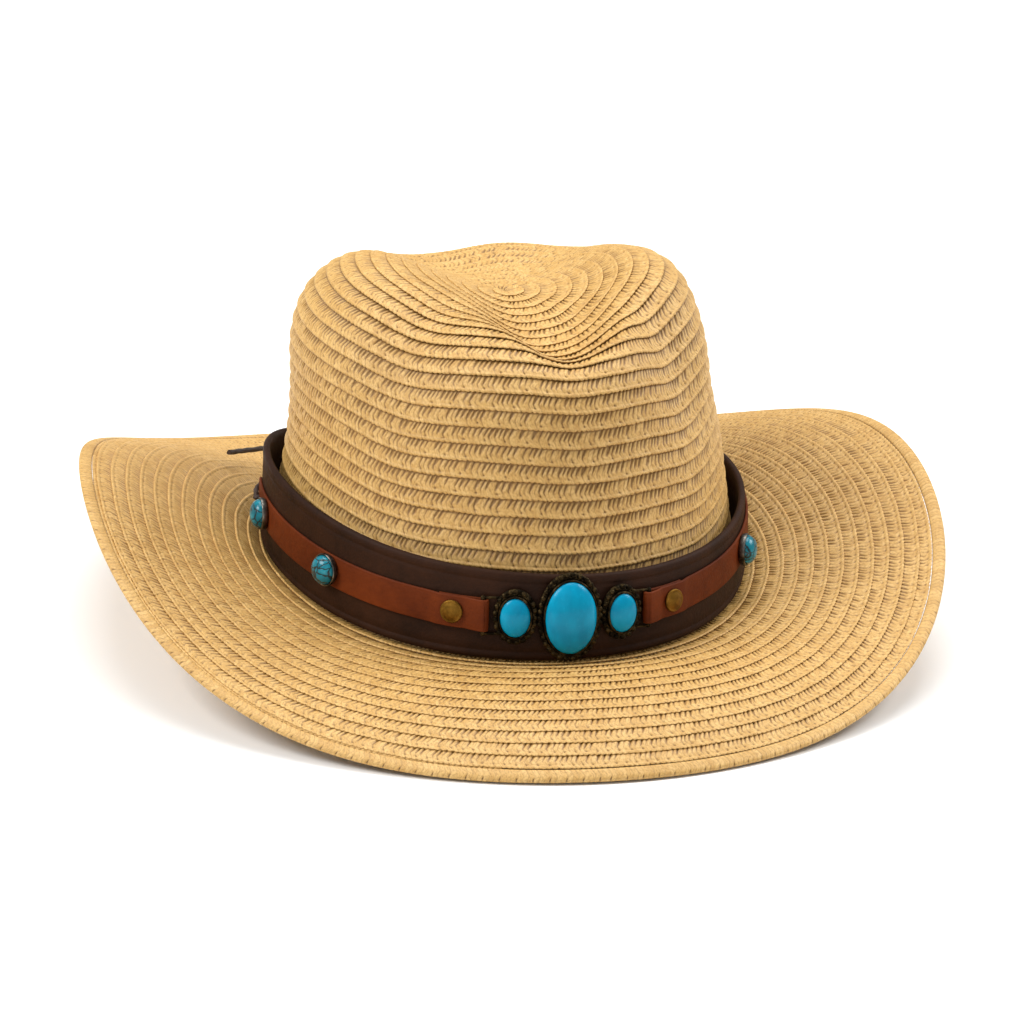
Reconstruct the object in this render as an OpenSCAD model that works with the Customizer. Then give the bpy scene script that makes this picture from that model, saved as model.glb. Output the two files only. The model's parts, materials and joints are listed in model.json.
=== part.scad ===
// Cowboy hat of sewn straw braid with a leather hatband and a turquoise concho.
// Millimetres. +Z is up, -Y is the front, and the hat stands on its brim at z = 0.
// Shapes are made in the hat's own frame, where the crown's axis is upright and z = 0 is the
// mean height of the line where crown and brim meet. stand() then leans the hat back, until it
// rests on its brim at the front edge and at the back of the crown.
// Angles go round the crown from the front (0) through the wearer's left (90) to the back (180).

/* [Crown] */
// Half of the crown's length at its base, front to back
crown_half_length = 104.5; // [98:0.5:112]
// Half of the crown's width at its base
crown_half_width = 88.5; // [82:0.5:96]
// Height where the wall turns into the shoulder
wall_height = 76; // [70:1:82]
// Height of the side ridges along the top
ridge_height = 123.5; // [118:0.5:130]
// Size of the wall's top against its base
wall_taper = 0.894; // [0.86:0.005:0.94]
// Depth of the hollow in the top, at the back
hollow_depth = 9; // [6:0.5:12]
// How much deeper the hollow is at the front
hollow_front = 3.5; // [0:0.5:7]
// Depth of the two front pinches
pinch_depth = 8.5; // [4:0.5:10]
// Thickness of the straw braid
straw = 2; // [1.6:0.1:2.4]

/* [Brim] */
// Width of the brim, measured along its surface
brim_width = 80; // [70:1:90]
// Slope of the brim at the crown: mean, then how it varies once, twice and three times round
slope_in = [20, -13.5, -9, 13]; // [-30:0.5:30]
// Slope of the brim at its edge, given the same way up to four times round
slope_out = [-6, -16, -17.5, -10.5, 7]; // [-30:0.5:30]
// Rise and fall of the line between crown and brim, two and three times round
break_wave = [-7.5, 2.4]; // [-12:0.1:12]
// Width of the folded hem along the brim's edge
hem_width = 5; // [4.5:0.1:6]
// Diameter of the shaping wire inside the hem
wire_d = 1.4; // [1:0.1:1.5]

/* [Hatband] */
// Height of the dark leather band's top edge above the line between crown and brim
band_top = 33; // [30:0.5:38]
// How much higher that edge stands on the wearer's right, and lower on the left
band_tilt = 3.4; // [0:0.1:4]
// Thickness of the dark leather band
band_thick = 2.6; // [2.2:0.1:2.8]
// Height of the strap's middle
strap_mid = 17.8; // [16:0.1:20]
// Width of the strap
strap_width = 12; // [11:0.5:13]
// Thickness of the strap
strap_thick = 1.2; // [1:0.1:1.2]
// Diameter of the tie cord
cord_d = 2; // [1.8:0.1:2.2]

/* [Concho and studs] */
// Large stone: width, height and how far its dome rises
large_stone = [19.5, 27.5, 6.5]; // [4:0.5:30]
// Small stones: width, height and how far their domes rise
small_stone = [11.5, 15, 4.5]; // [3:0.5:18]
// Width of a bead rim
bead_rim = 2.4; // [2:0.1:2.5]
// Diameter of a round stud's stone
stud_d = 11; // [9:0.5:12]
// Angles of the studs round the crown
stud_angles = [-88.9, -58.7, 58.7]; // [-96:0.1:96]
// Diameter of a rivet's cap
rivet_d = 8.6; // [7:0.1:9]

/* [Hidden] */

$fn = 48;
step = 5;
around = [0:step:360 - step];
gap = 0.05;
hole_play = 0.15;

// Crown: shares and widths that shape the rounded block and its creases
top_share = 0.5;
// How square the shoulder is, on the wearer's right and left
shoulder_power = [2.48, 2.17];
// How much lower the ridge runs at the front and back, and how much higher on the left
ridge_dip = 12.4;
ridge_tilt = 3.3;
// Rises along the ridge: angle, width and height
ridge_bumps = [[252, 24, 1.9], [167, 21, 4], [118, 28, 0.9]];
// The hollow's point at the front, where its middle line runs, and its half width on each side
hollow_point = 90;
hollow_line = [4.5, 9];
hollow_half = [34, 44];
// The two pinches: angle, width and share of the depth
pinches = [[-40, 14, 0.7], [39, 11, 0.8]];
// How far the tip lies below the ridges before the hollow is pressed in
tip_drop = 6.1;
levels = [each [0:0.1:2], each [2.15:0.15:2.9]];
sweatband_thick = 1.5;

// Hatband: the band stands straight while the crown tapers away inside it
band_foot_out = 3;
band_lean = 1.5;
strap_low = strap_mid - strap_width / 2;
strap_high = strap_mid + strap_width / 2;
strap_end = 104;
lace_hole = 99;
rivet_angle = 26.2;

// Concho: side settings, and the end bars that the strap ends fold round
setting_angle = 12.2;
bar_angle = 19.3;
bar_r = 0.9;
bar_out = strap_thick + gap + bar_r + gap;
bar_turn_rate = 1.667;
setting_lift = 0.15;
plate = 1.2;
plate_tie = [7, 5, plate - 0.2];
tie_angle = 6.7;
bezel_wall = 0.6;
bezel_high = 2.6;
bead_pitch = 2.5;
bead_dip = 0.45;
bead_squeeze = 1.4;
bead_height = 1.6;
stud_cup = [stud_d + 1.6, 2.4];
post_r = 1.5;
post_head = [3.2, 1];
post_reach = 0.3;
ferrule_half = 2.5;

function smooth(x) = let (c = min(max(x, 0), 1)) c * c * (3 - 2 * c);
function waves(c, t) = [for (k = [0:len(c) - 1]) c[k] * cos(k * t)] * [for (k = c) 1];
function break_z(t) = break_wave[0] * cos(2 * t) + break_wave[1] * cos(3 * t);
function outward(t) =
    let (v = [crown_half_length * sin(t), -crown_half_width * cos(t)]) v / norm(v);
function oval(t, out) =
    [crown_half_width * sin(t), -crown_half_length * cos(t)] + out * outward(t);
function at_oval(t, out, z) = let (p = oval(t, out)) [p[0], p[1], z];

// Brim: the slope changes evenly from the crown to the edge, so each section is an arc
function brim_at(t, s, up) =
    let (
        first = waves(slope_in, t),
        last = first + (waves(slope_out, t) - first) * s / brim_width,
        half = (last - first) / 2,
        chord = s * (abs(half) < 0.01 ? 1 : sin(half) / (half * PI / 180)),
        run = chord * cos((first + last) / 2) - up * sin(last),
        rise = chord * sin((first + last) / 2) + up * cos(last)
    ) at_oval(t, run, break_z(t) + rise);

function bump(x, middle, width) = exp(-pow((x - middle) / width, 2));
function bumps(t) =
    let (a = (t % 360 + 360) % 360)
    [for (b = ridge_bumps) b[2] * bump(a, b[0], b[1])] * [for (b = ridge_bumps) 1];
// Crown before creasing: v runs 0-1 up the wall, 1-2 over the shoulder, 2-3 in to the tip
function block_at(t, v) =
    let (
        ridge = ridge_height - ridge_dip * cos(t) * cos(t) + ridge_tilt * sin(t) + bumps(t),
        power = shoulder_power * [1 - sin(t), 1 + sin(t)] / 2,
        w = min(v, 1),
        turn = min(max(v - 1, 0), 1) * 90,
        u = min(max(v - 2, 0), 1),
        c = pow(max(cos(turn), 0), 2 / power),
        s = pow(max(sin(turn), 0), 2 / power),
        share = v <= 1 ? 1 - (1 - wall_taper) * (1 - pow(1 - w, 1.12))
            : v <= 2 ? top_share + (wall_taper - top_share) * c
            : top_share * (1 - u),
        z = v <= 1 ? break_z(t) * (1 - w) + wall_height * w
            : v <= 2 ? wall_height + (ridge - wall_height) * s
            : ridge + (ridge_height - tip_drop - ridge) * (1 - (1 - u) * (1 - u)),
        set_over = -3 * smooth((z - 50) / 40) * (1 - 0.8 * smooth((z - 100) / 25))
    ) [share * crown_half_width * sin(t) + set_over, -share * crown_half_length * cos(t), z];

// The hollow along the top: a teardrop whose point lies at the front rim, steeper on the right
function hollow_at(x, y) =
    let (
        along = min(max(1 + y / hollow_point, 0), 1.2),
        off = x - hollow_line[0] - (hollow_line[1] - hollow_line[0]) * along,
        half = 1.5 + hollow_half[off < 0 ? 0 : 1] * pow(along, 0.75),
        depth = hollow_depth + hollow_front * smooth((10 - y) / 60)
    ) depth * exp(-pow(abs(off) / half, off < 0 ? 3.4 : 2.6))
        * (1 - 0.6 * smooth((y - 35) / 40)) * (0.2 + 0.8 * smooth((y + hollow_point) / 28));
function pinch_at(p) =
    let (a = atan2(p[0], -p[1]))
    [for (q = pinches) q[2] * bump(a, q[0], q[1])] * [for (q = pinches) 1];
function crown_at(t, v) =
    let (
        b = block_at(t, v),
        z = b[2] - hollow_at(b[0], b[1]) * smooth((b[2] - 88) / 24),
        h = pinch_at(b),
        r = norm([b[0], b[1]]) + 0.001,
        k = min(max((r - 30) / 30, 0), 1),
        keep = 1 - pinch_depth * h * smooth((z - 56) / 46) * k / r
    ) [b[0] * keep, b[1] * keep, z - 4 * h * smooth((z - 85) / 30) * k];
function crown_in(t, v, depth) =
    v == 0 ? at_oval(t, -depth, break_z(t))
    : let (
        p = crown_at(t, v),
        n = cross(crown_at(t + 1, v) - crown_at(t - 1, v), crown_at(t, v + 0.02) - p)
    ) p - n / norm(n) * depth;

// Hatband: a point at a height above the crown's base, on or off the band's outer face
function top_at(t) = band_top - band_tilt * sin(t);
function band_at(t, height, out) =
    at_oval(t, band_foot_out - height * tan(band_lean) + out, break_z(t) + height);
function band_foot(t) = 0.5 + 2.2 * tan(max(waves(slope_in, t), 0));

// Standing: the hat rests on the front of its hem and on the brim's inner lip at the back.
// The lean brings the two level, and the hat moves to the origin.
hem_low = straw + 0.7;
front_low = brim_at(12, brim_width - 1.6, -hem_low);
back_low = at_oval(180, 0, break_z(180) - straw);
lean = atan2(back_low[2] - front_low[2], back_low[1] - front_low[1]);
function leaned(p) = [p[0], p[1] * cos(lean) + p[2] * sin(lean), p[2] * cos(lean) - p[1] * sin(lean)];
hem_points = [for (t = around) for (q = hem_section()) leaned(brim_at(t, q[0], q[1]))];
ground = min([for (p = hem_points) p[2]]);
middle = (max([for (p = hem_points) p[1]]) + min([for (p = hem_points) p[1]])) / 2;

module stand() {
    translate([0, -middle, -ground]) rotate([-lean, 0, 0]) children();
}

// Solid through closed cross sections, each listed in the same turning sense
module sweep(sections, closed = false) {
    n = len(sections);
    m = len(sections[0]);
    last = closed ? n - 1 : n - 2;
    sides = [for (i = [0:last]) for (j = [0:m - 1])
        let (a = i * m + j, b = i * m + (j + 1) % m, k = (i + 1) % n)
        each [[a, b, k * m + (j + 1) % m], [a, k * m + (j + 1) % m, k * m + j]]];
    ends = closed ? [] : [[for (j = [m - 1:-1:0]) j], [for (j = [0:m - 1]) (n - 1) * m + j]];
    polyhedron([for (s = sections) each s], concat(sides, ends), convexity = 6);
}

// Closed skin between an outer and an inner cap, each a list of rings and a tip
module cap_shell(outer, inner, outer_tip, inner_tip) {
    n = len(outer);
    m = len(outer[0]);
    tip = 2 * n * m;
    function quad(a, b, c, d) = [[a, b, c], [a, c, d]];
    faces = concat(
        [for (i = [0:n - 2]) for (j = [0:m - 1]) let (k = (j + 1) % m, a = i * m, b = a + m)
            each quad(a + j, b + j, b + k, a + k)],
        [for (i = [0:n - 2]) for (j = [0:m - 1])
            let (k = (j + 1) % m, a = (n + i) * m, b = a + m) each quad(a + k, b + k, b + j, a + j)],
        [for (j = [0:m - 1]) [(n - 1) * m + j, tip, (n - 1) * m + (j + 1) % m]],
        [for (j = [0:m - 1]) [(2 * n - 1) * m + (j + 1) % m, tip + 1, (2 * n - 1) * m + j]],
        [for (j = [0:m - 1]) let (k = (j + 1) % m) each quad(k, n * m + k, n * m + j, j)]);
    polyhedron(concat([for (r = outer) each r], [for (r = inner) each r], [outer_tip, inner_tip]),
        faces, convexity = 8);
}

module crown() color("#e2bd83") stand() {
    tip = crown_at(0, 3);
    cap_shell([for (v = levels) [for (t = around) crown_at(t, v)]],
        [for (v = levels) [for (t = around) crown_in(t, v, straw)]], tip, tip - [0, 0, straw]);
}

// The brim's inner lip runs in under the crown's wall, where the two are sewn together
function brim_section(t) =
    let (w = brim_width - hem_width) concat(
        [at_oval(t, -straw, break_z(t) - straw)],
        [for (k = [0.125:0.125:1]) brim_at(t, w * k, -straw)],
        [for (k = [1:-0.125:0]) brim_at(t, w * k, 0)],
        [at_oval(t, -straw, break_z(t))]);
module brim() color("#dfb87c") stand()
    sweep([for (t = around) brim_section(t)], closed = true);

// Hem: distance along the brim and height above its surface, round the folded edge
function hem_section() =
    let (a = brim_width - hem_width + gap, b = brim_width) [
        [a, -straw], [a + 0.4, -straw - 0.6], [b - 1.6, -hem_low], [b - 0.3, -straw + 0.1],
        [b, -1], [b - 0.3, -0.1], [b - 1.6, 0.7], [a + 0.4, 0.6], [a, 0]];
function tube_section(t, r, sides) =
    [for (i = [0:sides - 1]) let (a = i * 360 / sides)
        brim_at(t, brim_width - hem_width / 2 + r * cos(a), -straw / 2 + r * sin(a))];
module wire_tube(r) sweep([for (t = around) tube_section(t, r, 8)], closed = true);
module ferrule_tube(r)
    sweep([for (t = [180 - ferrule_half, 180, 180 + ferrule_half]) tube_section(t, r, 12)]);
module brim_hem() color("#d9b077") stand() difference() {
    sweep([for (t = around) [for (q = hem_section()) brim_at(t, q[0], q[1])]], closed = true);
    wire_tube(wire_d / 2 + gap);
    ferrule_tube(wire_d / 2 + 0.5);
}
module brim_wire() color("#8d8f92") stand() wire_tube(wire_d / 2);
module wire_ferrule() color("#b9a06a") stand() difference() {
    ferrule_tube(wire_d / 2 + 0.45);
    wire_tube(wire_d / 2 + gap);
}

// The sweatband lines the foot of the crown's wall
module sweatband() color("#2b211b") stand()
    sweep([for (t = around) concat(
        [for (v = [0:0.1:0.4]) crown_in(t, v, straw + 2 * gap)],
        [for (v = [0.4:-0.1:-0.01]) crown_in(t, max(v, 0), straw + sweatband_thick)])],
        closed = true);

// Section of the band: outer and inner faces with slightly rounded edges
function band_section(t) =
    let (low = band_foot(t), top = top_at(t), inner = -band_thick, edge = 0.8) [
        band_at(t, low + edge, 0), band_at(t, strap_low, 0), band_at(t, strap_high, 0),
        band_at(t, top - edge, 0), band_at(t, top, -edge),
        band_at(t, top, inner + edge), band_at(t, top - edge, inner),
        band_at(t, low + edge, inner), band_at(t, low, inner + edge), band_at(t, low, -edge)];
module band_leather() color("#3b2619") stand() difference() {
    sweep([for (t = around) band_section(t)], closed = true);
    fastener_holes();
    lace_holes();
}

// Frame on the band at strap height: X along the band, Y up it and Z outward
module on_band(t, out) {
    way = outward(t);
    translate(band_at(t, strap_mid, out)) rotate([0, 0, atan2(way[0], -way[1])])
        rotate([90 - band_lean, 0, 0]) children();
}
module each_stud(out) for (a = stud_angles) on_band(a, out) children();
module each_rivet(out) for (side = [-1, 1]) on_band(side * rivet_angle, out) children();
module fastener_holes() {
    each_stud(0) cylinder(h = 16, r = post_r + hole_play, center = true);
    each_rivet(0) cylinder(h = 16, r = post_r + hole_play, center = true);
}
module lace_holes()
    for (side = [-1, 1]) on_band(side * lace_hole, 0)
        cylinder(h = 12, r = cord_d / 2 + hole_play, center = true);

// Strap: its path as [angle, outer face, inner face], the end folded back round the concho's bar
fold_out = 2 * strap_thick + 2 * gap;
strap_run = concat(
    [for (t = [strap_end, 100]) [t, strap_thick, 0]],
    [for (t = [95:-step:35]) [t, strap_thick, 0]],
    [[32, strap_thick + 0.3, 0.3], [29.5, fold_out + 0.05, strap_thick + 0.15],
        [25, fold_out + 0.05, strap_thick + 0.15], [23.2, fold_out + 0.1, strap_thick + 0.2],
        [21.2, 3.75, 2.55]]);
wrap = [for (a = [0:22.5:180]) let (r = bar_r + 0.1, big = r + strap_thick)
    [bar_angle - r * sin(a) / bar_turn_rate, bar_out + r * cos(a),
        bar_angle - big * sin(a) / bar_turn_rate, bar_out + big * cos(a)]];
function strap_section(to, oo, ti, oi) =
    [band_at(to, strap_low, oo), band_at(ti, strap_low, oi),
        band_at(ti, strap_high, oi), band_at(to, strap_high, oo)];
module strap_skin() {
    return_out = bar_out - bar_r - 0.1;
    sweep(concat(
        [for (q = strap_run) strap_section(q[0], q[1], q[0], q[2])],
        [for (q = wrap) strap_section(q[2], q[3], q[0], q[1])],
        [for (t = [20, 25, 29.5]) strap_section(t, return_out - strap_thick, t, return_out)]));
}
module strap_right() color("#5c2a15") stand() difference() {
    strap_skin();
    fastener_holes();
    lace_holes();
}
module strap_left() color("#5c2a15") stand() difference() {
    mirror([1, 0, 0]) strap_skin();
    fastener_holes();
    lace_holes();
}

// Oval outline, plain or with a scallop for each bead
module oval_disc(size, grow, beads = 0)
    polygon([for (a = [0:360 / max(6 * beads, 48):359.99])
        let (bump = beads > 0 ? bead_dip * (abs(cos(beads * a / 2)) - 1) : 0)
        [(size[0] / 2 + grow + bump) * cos(a), (size[1] / 2 + grow + bump) * sin(a)]]);
function ring_beads(size) = round(PI * (size[0] + size[1] + 2 * bead_rim) / 2 / bead_pitch);
module dome(w, h, rise, base) {
    rings = [[1, 0], [1, base], [0.93, 0.42], [0.78, 0.68], [0.55, 0.87], [0.28, 0.97]];
    points = [for (q = rings) [for (a = [0:10:350])
        [q[0] * w / 2 * cos(a), q[0] * h / 2 * sin(a), q[0] == 1 ? q[1] : base + (rise - base) * q[1]]]];
    m = len(points[0]);
    n = len(points);
    polyhedron(concat([for (r = points) each r], [[0, 0, rise]]), concat(
        [[for (j = [0:m - 1]) j]],
        [for (i = [0:n - 2]) for (j = [0:m - 1]) let (k = (j + 1) % m, a = i * m, b = a + m)
            each [[a + j, b + j, b + k], [a + j, b + k, a + k]]],
        [for (j = [0:m - 1]) [(n - 1) * m + j, n * m, (n - 1) * m + (j + 1) % m]]));
}

// Side settings sit square to the band at their own angle; all three share the frame
module on_setting(side) on_band(side * setting_angle, setting_lift) children();
module large_setting() stand() on_setting(0) children();
module left_setting() stand() on_setting(-1) children();
module right_setting() stand() on_setting(1) children();

// The end bar's centre, seen in the side setting's frame
bar_gap = oval(bar_angle, band_foot_out + bar_out) - oval(setting_angle, band_foot_out + setting_lift);
setting_way = outward(setting_angle);
bar_x = -bar_gap[0] * setting_way[1] + bar_gap[1] * setting_way[0];
bar_z = bar_gap[0] * setting_way[0] + bar_gap[1] * setting_way[1];
module rod(p, q, r) {
    d = q - p;
    translate(p) rotate([0, acos(d[2] / norm(d)), atan2(d[1], d[0])])
        cylinder(h = norm(d), r = r, $fn = 24);
}
module end_loop(side) {
    half = strap_width / 2 + 0.8;
    top = side * bar_x;
    rod([top, -half, bar_z], [top, half, bar_z], bar_r);
    for (y = [-half, half]) {
        rod([side * 3.5, y, 0.55], [top, y, bar_z], 0.5);
        translate([top, y, bar_z]) sphere(r = bar_r, $fn = 24);
    }
}
module concho_frame() color("#4a3a22") stand() {
    on_setting(0) linear_extrude(plate) oval_disc(large_stone, bezel_wall);
    for (side = [-1, 1]) {
        on_setting(side) linear_extrude(plate) oval_disc(small_stone, bezel_wall);
        on_setting(side) end_loop(side);
        on_band(side * tie_angle, setting_lift) translate([0, 0, plate / 2])
            cube(plate_tie, center = true);
    }
}

// Setting parts above the frame: a plain wall round the stone, and the bead rim outside it
module bezel(size) translate([0, 0, plate]) linear_extrude(bezel_high) difference() {
    oval_disc(size, bezel_wall);
    oval_disc(size, gap);
}
module beads(size) translate([0, 0, plate]) linear_extrude(bead_height) difference() {
    oval_disc(size - [bead_squeeze, 0, 0], bezel_wall + bead_rim, ring_beads(size));
    oval_disc(size, bezel_wall);
}
module stone(size) translate([0, 0, plate]) dome(size[0], size[1], size[2], 1.5);

module bezel_large() color("#5a4726") large_setting() bezel(large_stone);
module bezel_left() color("#5a4726") left_setting() bezel(small_stone);
module bezel_right() color("#5a4726") right_setting() bezel(small_stone);
module beads_large() color("#4b3b20") large_setting() beads(large_stone);
module beads_left() color("#4b3b20") left_setting() beads(small_stone);
module beads_right() color("#4b3b20") right_setting() beads(small_stone);
module stone_large() color("#1483a1") large_setting() stone(large_stone);
module stone_left() color("#1595b3") left_setting() stone(small_stone);
module stone_right() color("#1595b3") right_setting() stone(small_stone);

// Rivets: a domed cap outside, and a post through strap and band with a flat head inside
cap_out = fold_out + 0.12;
module rivet_caps() color("#8a6420") stand() each_rivet(cap_out) {
    cylinder(h = 0.8, r = rivet_d / 2);
    intersection() {
        translate([0, 0, 0.8]) cylinder(h = 2, r = rivet_d / 2);
        translate([0, 0, 2.2 - 8.3]) sphere(r = 8.3);
    }
}
module inner_post(out) {
    depth = out + band_thick + post_reach;
    translate([0, 0, -depth]) cylinder(h = depth, r = post_r, $fn = 24);
    translate([0, 0, -depth - post_head[1]]) cylinder(h = post_head[1], r = post_head[0], $fn = 24);
}
module rivet_posts() color("#8a6420") stand() each_rivet(cap_out) inner_post(cap_out);

// Studs: a silver cup on the strap, a round dome stone in it, and a post with a head inside
stud_out = strap_thick + 0.1;
module stud_cups() color("#a9aaa6") stand() each_stud(stud_out) difference() {
    cylinder(h = stud_cup[1], r1 = stud_cup[0] / 2 - 0.6, r2 = stud_cup[0] / 2);
    translate([0, 0, 0.8]) cylinder(h = 3, r = stud_d / 2);
}
module stud_stones() color("#2f6f7c") stand() each_stud(stud_out) intersection() {
    translate([0, 0, 0.8]) cylinder(h = 6, r = stud_d / 2);
    translate([0, 0, 0.4]) sphere(r = stud_d / 2);
}
module stud_posts() color("#9b9c98") stand() each_stud(stud_out) inner_post(stud_out);

// Tie cord: each lace starts in a hole near its strap's end and runs round the back of the band
// to the knot, and two free tails leave the knot. The knot and the tails' route points are given
// where the hat stands.
knot_at = [0, 108, 20];
knot_half = 4;
knot_r = 2.5;
lace_end = [knot_half, 107.4, 18.8];
tail_left_route = [[-4, 108.3, 21.2], [-8, 108.8, 21.2], [-20, 112, 21], [-38, 114.5, 23],
    [-54, 112.5, 26.5], [-68, 106.5, 31], [-81, 92.5, 35.5], [-92, 75, 41]];
tail_right_route = [[4, 108.3, 21.2], [8, 108.8, 21.2], [20, 112, 21], [38, 114.5, 23],
    [54, 112, 26.5], [66, 106.5, 30.5]];
lace_over = strap_thick + cord_d / 2 + gap;
lace_on_band = cord_d / 2 + gap;
lace_route = concat(
    [for (q = [[lace_hole, -band_thick - 0.3], [lace_hole, 1], [lace_hole, lace_over + 0.2],
        [101.5, lace_over], [strap_end, lace_over], [106, lace_over - 0.2], [108.5, lace_on_band + 0.2]])
        placed(band_at(q[0], strap_mid, q[1]))],
    [for (t = [110:step:175]) placed(band_at(t, strap_mid, lace_on_band))],
    [lace_end + [2, 0, 0], lace_end]);

function placed(p) = leaned(p) - [0, middle, ground];
// Smooth curve through a route's points, with a few rings to each stretch
function curve_at(a, b, c, d, u) =
    0.5 * (2 * b + (c - a) * u + (2 * a - 5 * b + 4 * c - d) * u * u
        + (3 * b - a - 3 * c + d) * u * u * u);
function curve(route, rings) = let (n = len(route) - 1) concat(
    [for (i = [0:n - 1]) for (k = [0:rings - 1])
        curve_at(route[max(i - 1, 0)], route[i], route[i + 1], route[min(i + 2, n)], k / rings)],
    [route[n]]);
module cord(route, sides = 8) {
    n = len(route) - 1;
    sweep([for (i = [0:n])
        let (
            way = route[min(i + 1, n)] - route[max(i - 1, 0)],
            side = cross(way, [0, 0, 1]),
            a = side / norm(side),
            b = cross(a, way) / norm(way)
        ) [for (k = [0:sides - 1]) let (turn = k * 360 / sides)
            route[i] + cord_d / 2 * (a * cos(turn) + b * sin(turn))]]);
}
module lace_right() color("#35231a") cord(lace_route);
module lace_left() color("#35231a") mirror([1, 0, 0]) cord(lace_route);
module tail_left() color("#35231a") cord(curve(tail_left_route, 3));
module tail_right() color("#35231a") cord(curve(tail_right_route, 3));
module tie_knot() color("#35231a") translate(knot_at) rotate([0, 90, 0])
    cylinder(h = 2 * knot_half, r = knot_r, center = true);

crown();
brim();
brim_hem();
brim_wire();
wire_ferrule();
sweatband();
band_leather();
strap_left();
strap_right();
concho_frame();
bezel_large();
bezel_left();
bezel_right();
beads_large();
beads_left();
beads_right();
stone_large();
stone_left();
stone_right();
rivet_caps();
rivet_posts();
stud_cups();
stud_stones();
stud_posts();
lace_left();
lace_right();
tie_knot();
tail_left();
tail_right();
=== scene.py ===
import json
import math

import bmesh
import bpy
import numpy as np
from mathutils import Matrix, Vector
from mathutils.bvhtree import BVHTree


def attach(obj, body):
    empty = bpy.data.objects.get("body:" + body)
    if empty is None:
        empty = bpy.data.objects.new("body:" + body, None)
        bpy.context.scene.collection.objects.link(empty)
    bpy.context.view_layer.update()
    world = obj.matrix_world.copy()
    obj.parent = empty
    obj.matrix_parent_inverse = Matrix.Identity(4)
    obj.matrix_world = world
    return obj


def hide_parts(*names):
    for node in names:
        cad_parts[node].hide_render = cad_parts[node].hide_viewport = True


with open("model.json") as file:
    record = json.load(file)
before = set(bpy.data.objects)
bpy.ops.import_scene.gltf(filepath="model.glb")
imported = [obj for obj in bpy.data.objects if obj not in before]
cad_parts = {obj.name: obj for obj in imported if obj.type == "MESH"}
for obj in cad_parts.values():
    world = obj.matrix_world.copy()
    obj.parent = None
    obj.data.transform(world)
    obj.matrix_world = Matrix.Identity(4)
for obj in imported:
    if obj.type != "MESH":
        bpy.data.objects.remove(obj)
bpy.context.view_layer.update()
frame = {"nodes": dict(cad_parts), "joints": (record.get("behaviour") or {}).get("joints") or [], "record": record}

MM = 0.001
TAU = 2 * math.pi


# -------- frame of the hat
# The hat's own frame has its axis upright and its origin at the middle of the head opening.
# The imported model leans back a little, and the lift joint's axis says by how much.

opening = next(m for m in frame["record"]["mounts"] if m["name"] == "head_opening")
lift = next(j for j in frame["joints"] if j["name"] == "band_lift")
LEAN = math.atan2(lift["axis"][1], lift["axis"][2])
HAT = Matrix.Translation(Vector(opening["pos_m"])) @ Matrix.Rotation(-LEAN, 4, "X")
HAT_ROT = np.array(HAT.to_3x3())
HAT_POS = np.array(HAT.translation)


def placed(points):
    """Points from the hat's frame to the model's frame."""
    return np.asarray(points, float) @ HAT_ROT.T + HAT_POS


def in_hat(points):
    """Points from the model's frame to the hat's frame."""
    return (np.asarray(points, float) - HAT_POS) @ HAT_ROT


# -------- camera
# Azimuth and elevation are taken in the hat's frame; the lens is long, as in the photograph.

CAMERA_AZIMUTH = -13.4
CAMERA_ELEVATION = 16.1
CAMERA_DISTANCE = 2.155
CAMERA_LENS = 199.1
CAMERA_ROLL = 1.2
CAMERA_TARGET = (0, 0, 0.030)
CAMERA_SHIFT = (0.0088, -0.0226)


def linked(obj):
    bpy.context.scene.collection.objects.link(obj)
    return obj


def direction(azimuth, elevation):
    """Way out from the hat, from degrees. Azimuth 0 is the front and 90 the wearer's left."""
    a, e = math.radians(azimuth), math.radians(elevation)
    return Vector((math.sin(a) * math.cos(e), -math.cos(a) * math.cos(e), math.sin(e)))


def add_camera():
    a, r = math.radians(CAMERA_AZIMUTH), math.radians(CAMERA_ROLL)
    back = direction(CAMERA_AZIMUTH, CAMERA_ELEVATION)
    right = Vector((math.cos(a), math.sin(a), 0))
    up = back.cross(right)
    turned = [math.cos(r) * right + math.sin(r) * up, -math.sin(r) * right + math.cos(r) * up, back]
    spot = Vector(CAMERA_TARGET) + back * CAMERA_DISTANCE
    pose = Matrix.Identity(4)
    for i, axis in enumerate(turned):
        pose.col[i] = axis.to_4d()
        pose.col[i][3] = 0
    pose.translation = spot
    data = bpy.data.cameras.new("camera")
    data.lens = CAMERA_LENS
    data.shift_x, data.shift_y = CAMERA_SHIFT
    data.clip_end = 20
    cam = linked(bpy.data.objects.new("camera", data))
    cam.matrix_world = HAT @ pose
    bpy.context.scene.camera = cam


add_camera()


# -------- small mesh tools

def new_mesh(name, verts, quads, uv=None, values=None):
    """Mesh object from arrays. uv is per vertex, values are named numbers per vertex."""
    verts = np.asarray(verts, np.float32)
    quads = np.asarray(quads, np.int32)
    mesh = bpy.data.meshes.new(name)
    mesh.vertices.add(len(verts))
    mesh.vertices.foreach_set("co", verts.ravel())
    mesh.loops.add(quads.size)
    mesh.loops.foreach_set("vertex_index", quads.ravel())
    mesh.polygons.add(len(quads))
    mesh.polygons.foreach_set("loop_start", np.arange(0, quads.size, quads.shape[1], dtype=np.int32))
    if uv is not None:
        layer = mesh.uv_layers.new(name="along")
        layer.data.foreach_set("uv", np.asarray(uv, np.float32)[quads.ravel()].ravel())
    for key, data in (values or {}).items():
        mesh.attributes.new(key, "FLOAT", "POINT").data.foreach_set("value", np.asarray(data, np.float32))
    mesh.update(calc_edges=True)
    mesh.validate()
    mesh.polygons.foreach_set("use_smooth", np.ones(len(mesh.polygons), bool))
    return linked(bpy.data.objects.new(name, mesh))


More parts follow.
